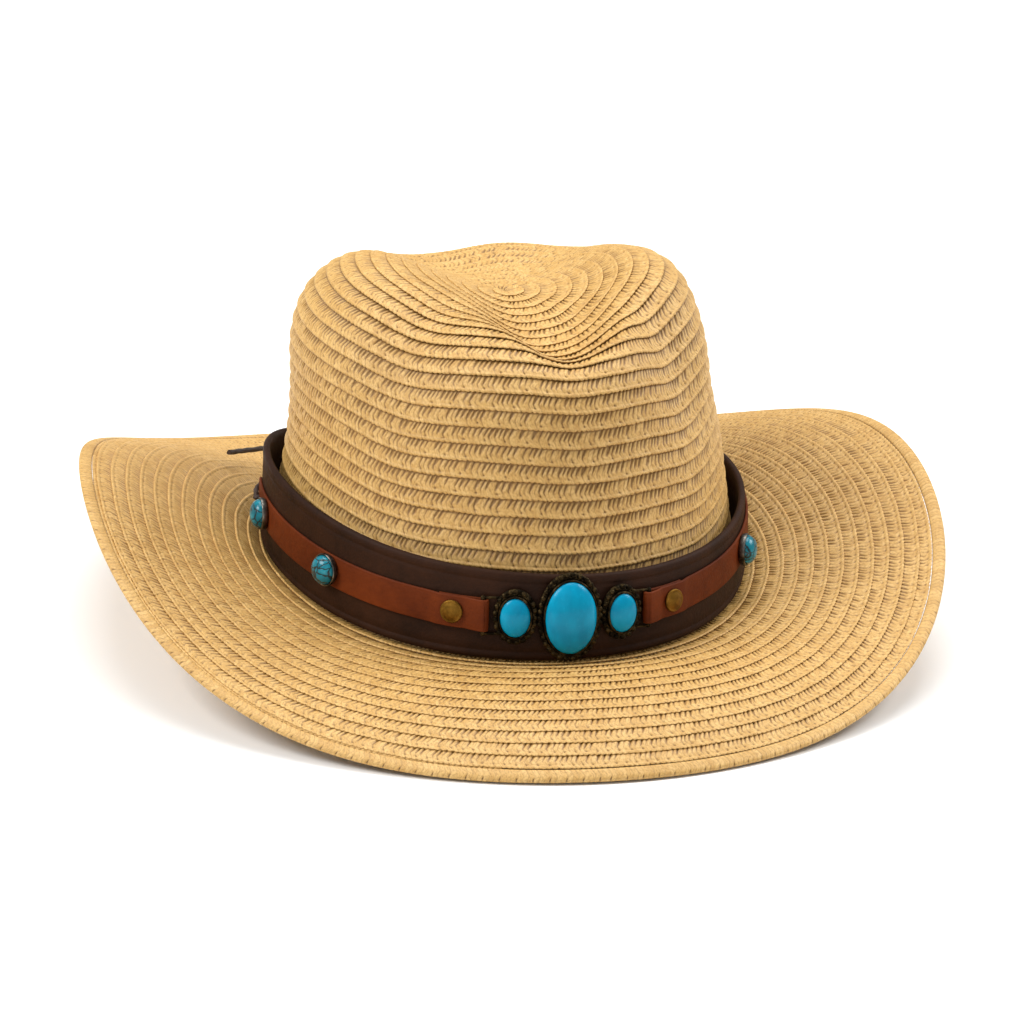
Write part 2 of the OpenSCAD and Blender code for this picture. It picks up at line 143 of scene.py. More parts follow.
def grid_quads(rows, cols, close_rows=False, close_cols=False):
    """Quads over a rows x cols grid of vertices, wrapped round where asked."""
    r = np.arange(rows if close_rows else rows - 1)
    c = np.arange(cols if close_cols else cols - 1)
    i, j = np.meshgrid(r, c, indexing="ij")
    i2, j2 = (i + 1) % rows, (j + 1) % cols
    return np.stack([i * cols + j, i2 * cols + j, i2 * cols + j2, i * cols + j2], -1).reshape(-1, 4)


def capped(obj, rows, cols):
    """Closes both ends of a run of closed sections."""
    mesh = bmesh.new()
    mesh.from_mesh(obj.data)
    mesh.verts.ensure_lookup_table()
    for start, way in ((0, 1), ((rows - 1) * cols, -1)):
        ring = [mesh.verts[start + k] for k in range(cols)][::way]
        mesh.faces.new(ring)
    bmesh.ops.recalc_face_normals(mesh, faces=mesh.faces)
    mesh.to_mesh(obj.data)
    mesh.free()
    return obj


def sheet(name, points, close_rows=False, uv=None, values=None):
    """Piece from a grid of points whose sections are closed. uv and values are grids too."""
    quads = grid_quads(*points.shape[:2], close_rows, close_cols=True)
    flat_uv = None if uv is None else uv.reshape(-1, 2)
    flat = {key: data.ravel() for key, data in (values or {}).items()}
    return new_mesh(name, points.reshape(-1, 3), quads, flat_uv, flat)


def rod(name, points, uv=None):
    """Run of closed sections, closed at both ends."""
    return capped(sheet(name, points, uv=uv), *points.shape[:2])


def strip_map(along, across):
    """Map of a strip in millimetres, along it and across it."""
    return np.stack(np.broadcast_arrays(along[:, None] / MM, across[None] / MM), -1)


def hump(x, middle, width):
    """Smooth bump of height 1."""
    return np.exp(-((x - middle) / width) ** 2)


def tidy_normals(obj):
    mesh = bmesh.new()
    mesh.from_mesh(obj.data)
    bmesh.ops.recalc_face_normals(mesh, faces=mesh.faces)
    mesh.to_mesh(obj.data)
    mesh.free()


def finish_piece(obj, body, look, slot, *nodes):
    """Every piece rides on a body, has a look, and may stand for CAD nodes. The slot is not used."""
    obj.data.materials.clear()
    obj.data.materials.append(look)
    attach(obj, body)
    if nodes:
        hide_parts(*nodes)
    return obj


def unit(v):
    return v / np.linalg.norm(v, axis=-1, keepdims=True)


def spline(points, per_span):
    """Smooth curve through the points, the same rule as the part's cords use."""
    p = np.asarray(points, float)
    n = len(p) - 1
    out = []
    for i in range(n):
        a, b, c, d = p[max(i - 1, 0)], p[i], p[i + 1], p[min(i + 2, n)]
        for u in np.arange(per_span) / per_span:
            out.append(0.5 * (2 * b + (c - a) * u + (2 * a - 5 * b + 4 * c - d) * u * u
                              + (3 * b - a - 3 * c + d) * u ** 3))
    return np.array(out + [p[n]])


def sweep_rings(path, profile):
    """Rings of a section carried along a path. profile(i) gives the section's points there."""
    way = unit(np.gradient(path, axis=0))
    side = np.zeros_like(way)
    ref = np.array([0.0, 0.0, 1.0]) if abs(way[0][2]) < 0.9 else np.array([1.0, 0.0, 0.0])
    side[0] = unit(np.cross(way[0], ref))
    for i in range(1, len(path)):
        flat = side[i - 1] - way[i] * np.dot(side[i - 1], way[i])
        side[i] = unit(flat)
    up = np.cross(side, way)
    rings = [path[i] + profile(i) @ np.stack([side[i], up[i]]) for i in range(len(path))]
    return np.array(rings)


def tube(name, path, radius, sides=14, lay=0.0, strands=3):
    """Round cord along a path: a slight twisted lay shows its plies, and its ends are cut."""
    path = np.asarray(path, float)
    run = np.concatenate([[0], np.cumsum(np.linalg.norm(np.diff(path, axis=0), axis=1))])
    turn = np.arange(sides) * TAU / sides

    def profile(i):
        swell = radius * (1 + lay * np.cos(strands * (turn - run[i] / (radius * 5))))
        return np.stack([swell * np.cos(turn), swell * np.sin(turn)], -1)

    return rod(name, sweep_rings(path, profile), strip_map(run, turn * radius))


# -------- tie cord's free tails
# Route points are the part's own, in metres in the model's frame.

CORD_D = 2 * MM
TAIL_LEFT = np.array([
    (-4, 108.3, 21.2), (-8, 108.8, 21.2), (-20, 112, 21), (-38, 114.5, 23),
    (-54, 112.5, 26.5), (-68, 106.5, 31), (-81, 92.5, 35.5), (-92, 75, 41)]) * MM
TAIL_RIGHT = np.array([
    (4, 108.3, 21.2), (8, 108.8, 21.2), (20, 112, 21), (38, 114.5, 23),
    (54, 112, 26.5), (66, 106.5, 30.5)]) * MM


# -------- surface under the braid
# The straw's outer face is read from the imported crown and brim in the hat's frame. It is kept as
# a grid: one line for each degree round the hat, from the crown's tip down to its foot and then
# out along the brim. Degrees are the oval's own: 0 front, 90 the wearer's left, 180 back.

CENTRE = np.array([-1, 0, 55]) * MM
FULL = 360
CROWN_SAMPLES = 160
CROWN_ROWS = 30
BRIM_ROWS = 13
HEM_WIDTH = 5 * MM
SAMPLES_PER_ROW = 20
RAY_FROM = 0.3
BRIM_TERMS = 5
BRIM_WAVES = 9
BRIM_SAMPLES = 121
RUN_UNIT = 0.1
BACK = 180


def node_points(name):
    data = frame["nodes"][name].data
    co = np.empty(len(data.vertices) * 3, np.float32)
    data.vertices.foreach_get("co", co)
    return in_hat(co.reshape(-1, 3))


def node_tree(name):
    faces = [tuple(p.vertices) for p in frame["nodes"][name].data.polygons]
    return BVHTree.FromPolygons([Vector(p) for p in node_points(name)], faces)


def soften(grid, sigma, axis, wrap):
    """Small Gaussian blur along one axis; the ends of an open axis keep their slope."""
    reach = int(3 * sigma + 1)
    weight = np.exp(-0.5 * (np.arange(-reach, reach + 1) / sigma) ** 2)
    weight /= weight.sum()
    moved = np.moveaxis(grid, axis, 0)
    pad = [(reach, reach)] + [(0, 0)] * (moved.ndim - 1)
    if wrap:
        wide = np.pad(moved, pad, mode="wrap")
    else:
        wide = np.pad(moved, pad, mode="reflect", reflect_type="odd")
    n = len(moved)
    return np.moveaxis(sum(weight[k] * wide[k:k + n] for k in range(2 * reach + 1)), 0, axis)


crown_points = node_points("crown")
HALF_WIDTH = float(np.abs(crown_points[:, 0]).max())
HALF_LENGTH = float(np.abs(crown_points[:, 1]).max())
DEGREES = np.radians(np.arange(FULL))


def oval(t, out=0.0):
    """Point of the crown's base oval, moved outward by a distance, as x and y."""
    way = outward(t)
    flat = np.stack([HALF_WIDTH * np.sin(t), -HALF_LENGTH * np.cos(t)], -1)
    return flat + np.asarray(out)[..., None] * way


def outward(t):
    return unit(np.stack([HALF_LENGTH * np.sin(t), -HALF_WIDTH * np.cos(t)], -1))


def read_break():
    """Height of the line where crown and brim meet, for each degree."""
    x, y = crown_points[:, 0] / HALF_WIDTH, crown_points[:, 1] / HALF_LENGTH
    foot = crown_points[np.abs(x * x + y * y - 1) < 0.002]
    angle = np.arctan2(foot[:, 0] / HALF_WIDTH, -foot[:, 1] / HALF_LENGTH) % TAU
    order = np.argsort(angle)
    height = np.interp(DEGREES, angle[order], foot[order, 2], period=TAU)
    return soften(height, 2, 0, True)


BREAK = read_break()


def around(t, values):
    """Value at angles t (radians), from one value for each degree."""
    return np.interp(np.asarray(t) % TAU, np.append(DEGREES, TAU), np.append(values, values[0]))


def break_at(t):
    return around(t, BREAK)


def lap_round(t):
    """Distance along the base oval, for angles that go once round it."""
    return arc(np.concatenate([oval(t), oval(t[:1])]))[:-1]


def read_crown():
    """Lines from the crown's tip to its foot, found by rays towards the crown's middle."""
    tree = node_tree("crown")
    foot = np.concatenate([oval(DEGREES), BREAK[:, None]], -1)
    arm = foot - CENTRE
    flat = unit(arm[:, :2])
    last = np.arccos(arm[:, 2] / np.linalg.norm(arm, axis=-1))
    share = np.linspace(0, 1, CROWN_SAMPLES)
    reach = np.empty((FULL, CROWN_SAMPLES))
    way = np.empty((FULL, CROWN_SAMPLES, 3))
    for i in range(FULL):
        polar = share * last[i]
        way[i] = np.stack([flat[i, 0] * np.sin(polar), flat[i, 1] * np.sin(polar), np.cos(polar)], -1)
        for j in range(CROWN_SAMPLES - 1):
            d = way[i, j]
            hit = tree.ray_cast(Vector(CENTRE + RAY_FROM * d), Vector(-d))
            reach[i, j] = RAY_FROM - hit[3] if hit[0] else reach[i, j - 1]
        reach[i, -1] = np.linalg.norm(arm[i])
    reach = soften(soften(reach, 2.2, 0, True), 1.3, 1, False)
    reach[:, -1] = np.linalg.norm(arm, axis=-1)
    return CENTRE + way * reach[..., None]


def read_brim():
    """Lines from the crown's foot out to the brim's edge, found by rays down on the brim."""
    brim, hem = node_tree("brim"), node_tree("brim_hem")
    down = Vector((0, 0, -1))
    out = np.arange(0.5, 100, 0.5) * MM
    edge = np.empty(FULL)
    bend = np.empty((FULL, BRIM_TERMS))
    for i, t in enumerate(DEGREES):
        spots = oval(np.full(len(out), t), out)
        seen = [(brim.ray_cast(Vector((*p, 0.2)), down)[0], hem.ray_cast(Vector((*p, 0.2)), down)[0])
                for p in spots]
        rises = [(r, b[2]) for r, (b, h) in zip(out, seen) if b and not h]
        run, height = np.array(rises).T
        bend[i] = np.polynomial.polynomial.polyfit(run / RUN_UNIT, height - BREAK[i], BRIM_TERMS - 1)
        edge[i] = out[max(k for k, (b, h) in enumerate(seen) if b or h)]
    waves = np.fft.rfft(np.column_stack([bend, edge]), axis=0)
    waves[BRIM_WAVES:] = 0
    even = np.fft.irfft(waves, FULL, axis=0)
    bend, edge = even[:, :BRIM_TERMS], even[:, BRIM_TERMS]
    bend[:, 0] = 0
    share = np.linspace(0, 1, BRIM_SAMPLES)
    run = share[None] * edge[:, None]
    rise = sum(bend[:, k, None] * (run / RUN_UNIT) ** k for k in range(BRIM_TERMS)) + BREAK[:, None]
    flat = np.stack([oval(np.full(len(share), t), run[i]) for i, t in enumerate(DEGREES)])
    return np.concatenate([flat, rise[..., None]], -1)


def arc(line):
    return np.concatenate([[0], np.cumsum(np.linalg.norm(np.diff(line, axis=0), axis=1))])


def build_surface(crown, brim):
    """Grid of places by degree and row, where a row is one braid's width of the line."""
    rows = CROWN_ROWS + BRIM_ROWS
    count = rows * SAMPLES_PER_ROW + 1
    ask = np.arange(count) / SAMPLES_PER_ROW
    grid = np.empty((FULL, count, 3))
    for i in range(FULL):
        a, b = arc(crown[i]), arc(brim[i])
        along = np.where(ask <= CROWN_ROWS, ask / CROWN_ROWS * a[-1],
                         a[-1] + (ask - CROWN_ROWS) / BRIM_ROWS * (b[-1] - HEM_WIDTH))
        line = np.concatenate([crown[i], brim[i][1:]])
        reach = np.concatenate([a, a[-1] + b[1:]])
        grid[i] = np.stack([np.interp(along, reach, line[:, k]) for k in range(3)], -1)
    soft = soften(grid, 4, 1, False)
    near = hump(ask, CROWN_ROWS, 0.8)[None, :, None]
    return grid * (1 - near) + soft * near


def normals_of(grid):
    """Outward normals of the grid, one for each place."""
    wide = np.concatenate([grid[-1:], grid, grid[:1]])
    round_hat = wide[2:] - wide[:-2]
    down = np.gradient(grid, axis=1)
    n = np.cross(down, round_hat)
    n[:, 0] = n[:, 1].mean(axis=0)
    n = unit(n)
    return unit(soften(soften(n, 1.5, 0, True), 3, 1, False))


# -------- the braid itself
# One flat plait is sewn round and round from the tip to the brim's edge. Each turn laps over the
# next one out. The plait is built strand by strand: four stations to a strand, the first one in
# the gap before it, and every station leans along the strand.

STRAND = 2.0 * MM
STRAND_LEAN = math.tan(math.radians(24))
FOLD_AT = 3.1 * MM
BRAID_WIDTH = 7.4 * MM
BRAID_THICK = 0.85 * MM
LAP_DROP = 0.85 * MM
FACE_DROP = 0.1 * MM
STITCH_AT = 1.75 * MM
STATIONS = np.array([0.0, 0.2, 0.5, 0.8])
TOP = np.array([0, 0.12, 0.35, 0.7, 1.05, 1.4, 1.75, 2.1, 2.6, 3.2, 3.9, 4.6, 5.2, 5.7, 6.1, 6.6,
                7.4]) * MM
UNDER = np.array([7.2, 6.4, 5.4, 4.3, 3.2, 2.1, 1.1, 0.3]) * MM
STITCH_GAPS_CROWN = 4
STITCH_GAPS_BRIM = 2
FIRST_TURN = 0.55
TOP_ROWS = 8
ROWS = CROWN_ROWS + BRIM_ROWS
PIECE_STATIONS = 3700
LINE_STEPS = 720
PITCH_STEP = 0.5


def smooth(x):
    c = np.clip(x, 0, 1)
    return c * c * (3 - 2 * c)


def between(grid, t, row):
    """Value of a surface grid at angles t (radians) and rows, blended between its places."""
    a = np.degrees(t) % FULL
    i = np.floor(a).astype(int)
    f = (a - i)[..., None]
    b = np.clip(row * SAMPLES_PER_ROW, 0, grid.shape[1] - 1.001)
    j = np.floor(b).astype(int)
    g = (b - j)[..., None]
    i, k = i % FULL, (i + 1) % FULL
    low = grid[i, j] * (1 - f) + grid[k, j] * f
    high = grid[i, j + 1] * (1 - f) + grid[k, j + 1] * f
    return low * (1 - g) + high * g


def wander(rng, length, knot):
    """Smooth random run between -1 and 1, as a function of distance."""
    knots = rng.uniform(-1, 1, int(length / knot) + 3)
    return lambda u: np.interp(u, np.arange(len(knots)) * knot, knots)


def strand_steps(rng, length):
    """Distances of the stations, and for each the strand's number and the place across it."""
    count = int(length / STRAND) + 1
    width = STRAND * (1 + 0.16 * rng.uniform(-1, 1, count))
    start = np.concatenate([[0], np.cumsum(width)[:-1]])
    u = start[:, None] + width[:, None] * STATIONS[None]
    number = np.repeat(np.arange(count), len(STATIONS))
    return u.ravel(), number, np.tile(np.arange(len(STATIONS)), count)


def at_gap(station, beside):
    """1 at the gap between two strands, a share beside it and 0 in a strand's middle."""
    return np.array([1.0, beside, 0.0, beside])[station]


def leaned(w):
    """How far along the plait a strand lies at w: it runs one way, folds, and runs back."""
    return STRAND_LEAN * np.abs(w - FOLD_AT)


def halves(rng, count, low, high, w):
    """A random number for each strand, a new one past the fold where another strand shows."""
    before, after = rng.uniform(low, high, (2, count))
    past = smooth((w - FOLD_AT) / (1.2 * MM) + 0.5)[None]
    return before[:, None] * (1 - past) + after[:, None] * past


def strand_relief(rng, number, station, w, strength):
    """Gaps between strands, deeper towards the lapped side, and each strand's own small lift, with the painted
    shade that darkens each gap.
    """
    count = number.max() + 1
    gap = halves(rng, count, 0.1, 1.7, w)
    lift = halves(rng, count, -1, 1, w)
    share = at_gap(station, 0.25)
    after = np.where((station == 3)[:, None], np.roll(gap, -1, axis=0)[number], gap[number])
    grow = 0.4 + 0.6 * smooth((w - 1.9 * MM) / (0.9 * MM))
    deep = (0.2 + 0.55 * smooth((w - 2.6 * MM) / (3.0 * MM))) * MM
    cut = share[:, None] * after * (grow * deep)[None] * strength
    own = 0.07 * MM * lift[number] * grow[None] * strength
    return own - cut, np.clip(cut / (0.38 * MM), 0, 1)


def stitch_relief(u_number, station, w, every):
    """Needle holes in the sewing line, one in every few gaps, and the painted shade that darkens them."""
    first, last = u_number % every == 0, u_number % every == every - 1
    is_hole = first & (station == 0)
    beside = (first & (station == 1)) | (last & (station == 3))
    round_hole = hump(w, STITCH_AT, 0.42 * MM)
    amount = is_hole[:, None] * 1.0 + beside[:, None] * 0.3
    return -0.62 * MM * amount * round_hole, amount * round_hole


def pitch_at(surface, angle, row):
    """Distance from one row to the next at each station."""
    near = between(surface, angle, np.maximum(row - PITCH_STEP, 0))
    pitch = np.linalg.norm(between(surface, angle, row) - near, axis=-1) / PITCH_STEP
    return np.clip(pitch, 4 * MM, 9 * MM)[:, None]


def plait_height(rng, strand, w, base, on_brim, calm):
    """Height of the section samples off the surface, and the shade of gaps and needle holes."""
    strands, gap_shade = strand_relief(rng, *strand, w, 1 - 0.35 * calm)
    holes_crown, shade_crown = stitch_relief(*strand, w, STITCH_GAPS_CROWN)
    holes_brim, shade_brim = stitch_relief(*strand, w, STITCH_GAPS_BRIM)
    holes = holes_crown * (1 - on_brim) + 0.6 * holes_brim * on_brim
    edge_round = -0.42 * MM * (1 - np.clip(w / (0.5 * MM), 0, 1)) ** 2
    ridge = 0.10 * MM * hump(w, 0.8 * MM, 0.45 * MM)
    groove = -0.10 * MM * hump(w, STITCH_AT, 0.3 * MM)
    inner_round = -0.25 * MM * smooth((w - 6.6 * MM) / (0.8 * MM))
    edges = edge_round[None] * (1 - 0.75 * calm)
    top = base + strands + holes + edges + (ridge + groove + inner_round)[None]
    thin = (0.2 * MM) * (hump(w, 0, 0.6 * MM) + hump(w, BRAID_WIDTH, 0.6 * MM))
    under = base - BRAID_THICK + thin[None] - 0.45 * strands
    is_top = (np.arange(len(w)) < len(TOP))[None]
    hole_shade = np.clip(shade_crown * (1 - on_brim) + shade_brim * on_brim, 0, 1)
    return np.where(is_top, top, under), is_top, gap_shade, hole_shade


def lapped_shade(station, w, pitch, is_top, calm):
    """Shadow where the next row in laps over, kept to the gaps on the calmer rows."""
    lapped = smooth((w[None] - pitch + 0.75 * MM) / (0.7 * MM)) * (w[None] < pitch + 0.6 * MM)
    near_gap = at_gap(station, 0.5)[:, None]
    lapped = lapped * is_top * np.clip(pitch / (6 * MM), 0.4, 1)
    return lapped * (0.7 * (1 - calm) + (0.02 + 0.9 * near_gap) * calm)


def build_strip(surface, normal):
    """Vertices, uv, strand tint and shade of the whole plait, as stations x section samples."""
    rng = np.random.default_rng(11)
    turns = np.arange(FIRST_TURN, ROWS + 1, 1 / LINE_STEPS)
    run = arc(between(surface, turns * TAU, np.maximum(np.minimum(turns, ROWS) - 0.45, 0.12)))
    u, number, station = strand_steps(rng, run[-1] - 6 * MM)
    spare = run[-1] + 0.1
    shift = wander(rng, spare, 9 * MM)

    w = np.concatenate([TOP, UNDER])
    sway = [wander(rng, spare, knot)(u)[:, None] * 0.4 * MM for knot in (3.4 * MM, 2.7 * MM)]
    past = smooth(w / (2 * FOLD_AT))[None]
    turn = np.interp(u[:, None] + leaned(w)[None] + sway[0] * (1 - past) + sway[1] * past, run, turns)
    angle = turn * TAU
    row_edge = np.minimum(turn, ROWS)
    pitch = pitch_at(surface, angle[:, 0], row_edge[:, 0])
    scallop = at_gap(station, 0.4) * rng.uniform(0.2, 0.55, number.max() + 1)[number] * MM
    notch = scallop[:, None] * np.clip(1 - w / (1.6 * MM), 0, 1)[None]
    place = row_edge - (w[None] + 0.14 * MM * shift(u)[:, None] + notch) / pitch

    on_brim = smooth((row_edge[:, :1] - CROWN_ROWS - 1.5) / 2.5)
    calm = np.maximum(on_brim, 1 - smooth((row_edge[:, :1] - TOP_ROWS) / 5))
    lap = LAP_DROP * (1 - 0.5 * calm)
    base = -FACE_DROP - lap * w[None] / pitch - np.clip(turn - ROWS, 0, 1) * lap
    height, is_top, gap_shade, hole_shade = plait_height(rng, (number, station), w, base, on_brim, calm)

    verts = between(surface, angle, place) + between(normal, angle, place) * height[..., None]
    tint = halves(rng, number.max() + 1, 0, 1, w)[number]
    tint = np.where((station == 0)[:, None], 0.45, tint)
    lapped = lapped_shade(station, w, pitch, is_top, calm)
    # Painted shade: gaps, needle holes and the shadow under each lapped edge on the top, and a lighter share of
    # the gap shade on the underside.
    shade = np.where(is_top, np.maximum.reduce([gap_shade, hole_shade, lapped]), 0.6 * gap_shade)
    return placed(verts), strip_map(u, w), tint, shade


def add_braid(crown, brim, look):
    surface = build_surface(crown, brim)
    verts, uv, tint, shade = build_strip(surface, normals_of(surface))
    count, cols = tint.shape
    for n, start in enumerate(range(0, count - 1, PIECE_STATIONS)):
        part = slice(start, min(start + PIECE_STATIONS + 1, count))
        rows = part.stop - part.start
        if rows < 3:
            continue
        obj = sheet(f"braid_{n + 1:02d}", verts[part], uv=uv[part],
                    values={"tint": tint[part], "shade": shade[part]})
        finish_piece(capped(obj, rows, cols), "hat", look, "straw", "crown", "brim")


# -------- materials
# Each look starts from one shader. Patterns work in millimetres on the object's own coordinates,
# or along and across a strip where it has such a map.

class Nodes:
    """Short way to add and join a material's nodes."""

    def __init__(self, name):
        self.material = bpy.data.materials.new(name)
        self.material.use_nodes = True
        self.tree = self.material.node_tree
        self.shader = self.tree.nodes["Principled BSDF"]
        self.output = self.tree.nodes["Material Output"]
        self.coords = self.add("ShaderNodeTexCoord")

    def add(self, kind, **settings):
        node = self.tree.nodes.new(kind)
        for key, value in settings.items():
            setattr(node, key, value)
        return node

    def put(self, value, socket):
        """Joins an output to a socket, or sets a plain value on it."""
        if isinstance(value, bpy.types.NodeSocket):
            self.tree.links.new(value, socket)
        elif isinstance(value, tuple) and len(value) == 3 and socket.type == "RGBA":
            socket.default_value = (*value, 1)
        else:
            socket.default_value = value

    def set(self, **inputs):
        for key, value in inputs.items():
            self.put(value, self.shader.inputs[key.replace("_", " ")])

    def fed(self, kind, inputs, **settings):
        """New node with its inputs joined or set, by name or by number."""
        node = self.add("ShaderNode" + kind, **settings)
        for key, value in inputs.items():
            self.put(value, node.inputs[key])
        return node

    def value(self, name):
        return self.add("ShaderNodeAttribute", attribute_name=name).outputs["Fac"]

    def scaled(self, size=(1, 1, 1), source="Object", turn=0.0):
        """Coordinates stretched by three numbers, after a turn about Z in degrees."""
        inputs = {"Vector": self.coords.outputs[source], "Scale": size,
                  "Rotation": (0, 0, math.radians(turn))}
        return self.fed("Mapping", inputs).outputs["Vector"]

    def noise(self, vector, scale, detail=3.0, rough=0.55):
        inputs = {"Vector": vector, "Scale": scale, "Detail": detail, "Roughness": rough}
        return self.fed("TexNoise", inputs).outputs["Fac"]

    def cells(self, vector, scale, feature="F1"):
        node = self.fed("TexVoronoi", {"Vector": vector, "Scale": scale}, feature=feature)
        return node.outputs["Distance"]

    def ramp(self, value, stops):
        """Colours or greys along a value. stops are pairs of place and colour."""
        node = self.fed("ValToRGB", {"Fac": value})
        marks = node.color_ramp.elements
        while len(marks) < len(stops):
            marks.new(0.5)
        for mark, (place, colour) in zip(marks, stops):
            mark.position = place
            mark.color = (*colour, 1) if isinstance(colour, tuple) else (colour, colour, colour, 1)
        return node.outputs["Color"]

    def mix(self, share, a, b):
        return self.fed("Mix", {0: share, 6: a, 7: b}, data_type="RGBA").outputs[2]

    def math(self, op, a, b):
        return self.fed("Math", {0: a, 1: b}, operation=op).outputs[0]

    def between(self, value, low, high):
        """A share from 0 to 1 moved to lie between two numbers."""
        return self.fed("MapRange", {"Value": value, "To Min": low, "To Max": high}).outputs["Result"]

    def bump(self, height, depth):
        node = self.fed("Bump", {"Height": height, "Distance": depth})
        self.put(node.outputs["Normal"], self.shader.inputs["Normal"])


def rgb(r, g, b):
    """Screen colour, 0 to 255, as the linear colour that shaders take."""
    return tuple(c / 255 / 12.92 if c <= 10 else ((c / 255 + 0.055) / 1.055) ** 2.4
                 for c in (r, g, b))


def straw_look():
    """Paper straw: pale strands of slightly different tints, fine fibres, and painted brown shade in the gaps,
    needle holes and under the lapped edges.
    """
    n = Nodes("straw braid")
    fibre = n.noise(n.scaled((2.2, 0.22, 1), "UV", 22), 3.0, 4, 0.6)
    patches = n.noise(n.scaled(), 38, 3)
    specks = n.noise(n.scaled((1.7, 0.9, 1), "UV", 22), 1.0, 3, 0.7)
    tone = n.math("ADD", n.math("MULTIPLY", n.value("tint"), 0.55), n.math("MULTIPLY", patches, 0.5))
    strand = n.ramp(tone, [(0.05, rgb(190, 146, 78)), (0.45, rgb(212, 171, 100)),
                           (0.95, rgb(230, 192, 124))])
    streaked = n.mix(n.between(fibre, 0.0, 0.5), strand, rgb(174, 129, 60))
    streaked = n.mix(n.ramp(specks, [(0.45, 0.0), (0.66, 0.7)]), streaked, rgb(150, 106, 46))
    # Painted shade: the shade value turns the colour deep brown in the strands' gaps, the needle holes and under
    # each lapped row's edge.
    gaps = n.ramp(n.value("shade"), [(0.05, 0.0), (0.5, 0.55), (1.0, 0.92)])
    n.set(Base_Color=n.mix(gaps, streaked, rgb(98, 60, 14)), Roughness=n.between(fibre, 0.42, 0.62),
          Specular_IOR_Level=0.5)
    n.bump(fibre, 0.12 * MM)
    return n.material


def cord_look():
    """Dark waxed cord, with the plies' fine threads."""
    n = Nodes("waxed cord")
    thread = n.noise(n.scaled((0.9, 3.0, 1), "UV", 35), 2.6, 3, 0.6)
    n.set(Base_Color=n.ramp(thread, [(0.3, rgb(30, 20, 14)), (0.75, rgb(78, 55, 40))]), Roughness=0.6,
          Specular_IOR_Level=0.4)
    n.bump(thread, 0.15 * MM)
    return n.material


def leather_look(name, dark, light, grain, gloss):
    """Finished leather: fine pebbled grain, slow changes of tone and a few creases."""
    n = Nodes(name)
    place = n.scaled()
    pebbles = n.cells(place, 900)
    creases = n.noise(n.scaled((1, 1, 2.2)), 260, 5, 0.65)
    tone = n.noise(place, 45, 4, 0.6)
    mixed = n.math("ADD", n.math("MULTIPLY", tone, 0.75), n.math("MULTIPLY", creases, 0.3))
    n.set(Base_Color=n.ramp(mixed, [(0.35, dark), (0.72, light)]),
          Roughness=n.between(creases, gloss, gloss + 0.22), Specular_IOR_Level=0.12)
    height = n.math("ADD", n.math("MULTIPLY", pebbles, 0.7), n.math("MULTIPLY", creases, 0.8))
    n.bump(height, grain)
    return n.material


def metal_look(name, dark, bright, low, high, rough, scale=320):
    """Cast or pressed metal: bright where it is rubbed, dark where old finish stays."""
    n = Nodes(name)
    wear = n.noise(n.scaled(), scale, 5, 0.65)
    n.set(Base_Color=n.ramp(wear, [(low, dark), (high, bright)]), Metallic=1.0,
          Roughness=n.between(wear, rough + 0.2, rough))
    n.bump(wear, 0.08 * MM)
    return n.material


def turquoise_look():
    """Even blue turquoise under a polished face, with faint clouds."""
    n = Nodes("turquoise")
    clouds = n.noise(n.scaled((1, 1, 0.6)), 170, 4, 0.5)
    specks = n.noise(n.scaled(), 900, 2, 0.5)
    base = n.ramp(clouds, [(0.3, rgb(0, 120, 156)), (0.55, rgb(0, 138, 174)), (0.8, rgb(2, 152, 190))])
    n.set(Base_Color=n.mix(n.ramp(specks, [(0.62, 0.0), (0.8, 0.3)]), base, rgb(50, 166, 190)),
          Roughness=0.3, Specular_IOR_Level=0.1, Coat_Weight=0.12, Coat_Roughness=0.1)
    return n.material


def veined_look():
    """Darker turquoise with the brown veins of its matrix."""
    n = Nodes("veined turquoise")
    bent = n.add("ShaderNodeVectorMath", operation="ADD")
    push = n.add("ShaderNodeTexNoise")
    push.inputs["Scale"].default_value = 180
    n.put(n.coords.outputs["Object"], push.inputs["Vector"])
    small = n.add("ShaderNodeVectorMath", operation="SCALE")
    n.put(push.outputs["Color"], small.inputs[0])
    small.inputs["Scale"].default_value = 0.004
    n.put(n.coords.outputs["Object"], bent.inputs[0])
    n.put(small.outputs[0], bent.inputs[1])
    edges = n.cells(bent.outputs[0], 230, "DISTANCE_TO_EDGE")
    thick = n.noise(n.scaled(), 260, 3)
    veins = n.ramp(n.math("DIVIDE", edges, n.between(thick, 0.05, 0.9)), [(0.03, 1.0), (0.16, 0.0)])
    clouds = n.noise(n.scaled(), 240, 4, 0.55)
    base = n.ramp(clouds, [(0.3, rgb(6, 92, 108)), (0.6, rgb(18, 126, 144)), (0.8, rgb(60, 160, 174))])
    n.set(Base_Color=n.mix(veins, base, rgb(22, 34, 34)), Roughness=0.28, Specular_IOR_Level=0.25,
          Coat_Weight=0.25, Coat_Roughness=0.1)
    n.bump(veins, -0.08 * MM)
    return n.material


def cloth_look():
    """Dark twill of the sweatband, its weave running along and up the strip."""
    n = Nodes("sweatband cloth")
    wave = n.add("ShaderNodeTexWave", wave_type="BANDS", bands_direction="DIAGONAL")
    n.put(n.scaled(source="UV"), wave.inputs["Vector"])
    wave.inputs["Scale"].default_value = 0.55
    fuzz = n.noise(n.scaled(), 1400, 3)
    n.set(Base_Color=n.ramp(n.math("MULTIPLY", wave.outputs["Fac"], fuzz),
                            [(0.05, rgb(30, 22, 18)), (0.6, rgb(74, 58, 48))]),
          Roughness=0.9, Sheen_Weight=0.3, Sheen_Roughness=0.4)
    n.bump(wave.outputs["Fac"], 0.2 * MM)
    return n.material


def thread_look(name, dark, light):
    n = Nodes(name)
    twist = n.noise(n.scaled(), 1500, 3)
    n.set(Base_Color=n.ramp(twist, [(0.35, dark), (0.7, light)]), Roughness=0.75)
    n.bump(twist, 0.05 * MM)
    return n.material


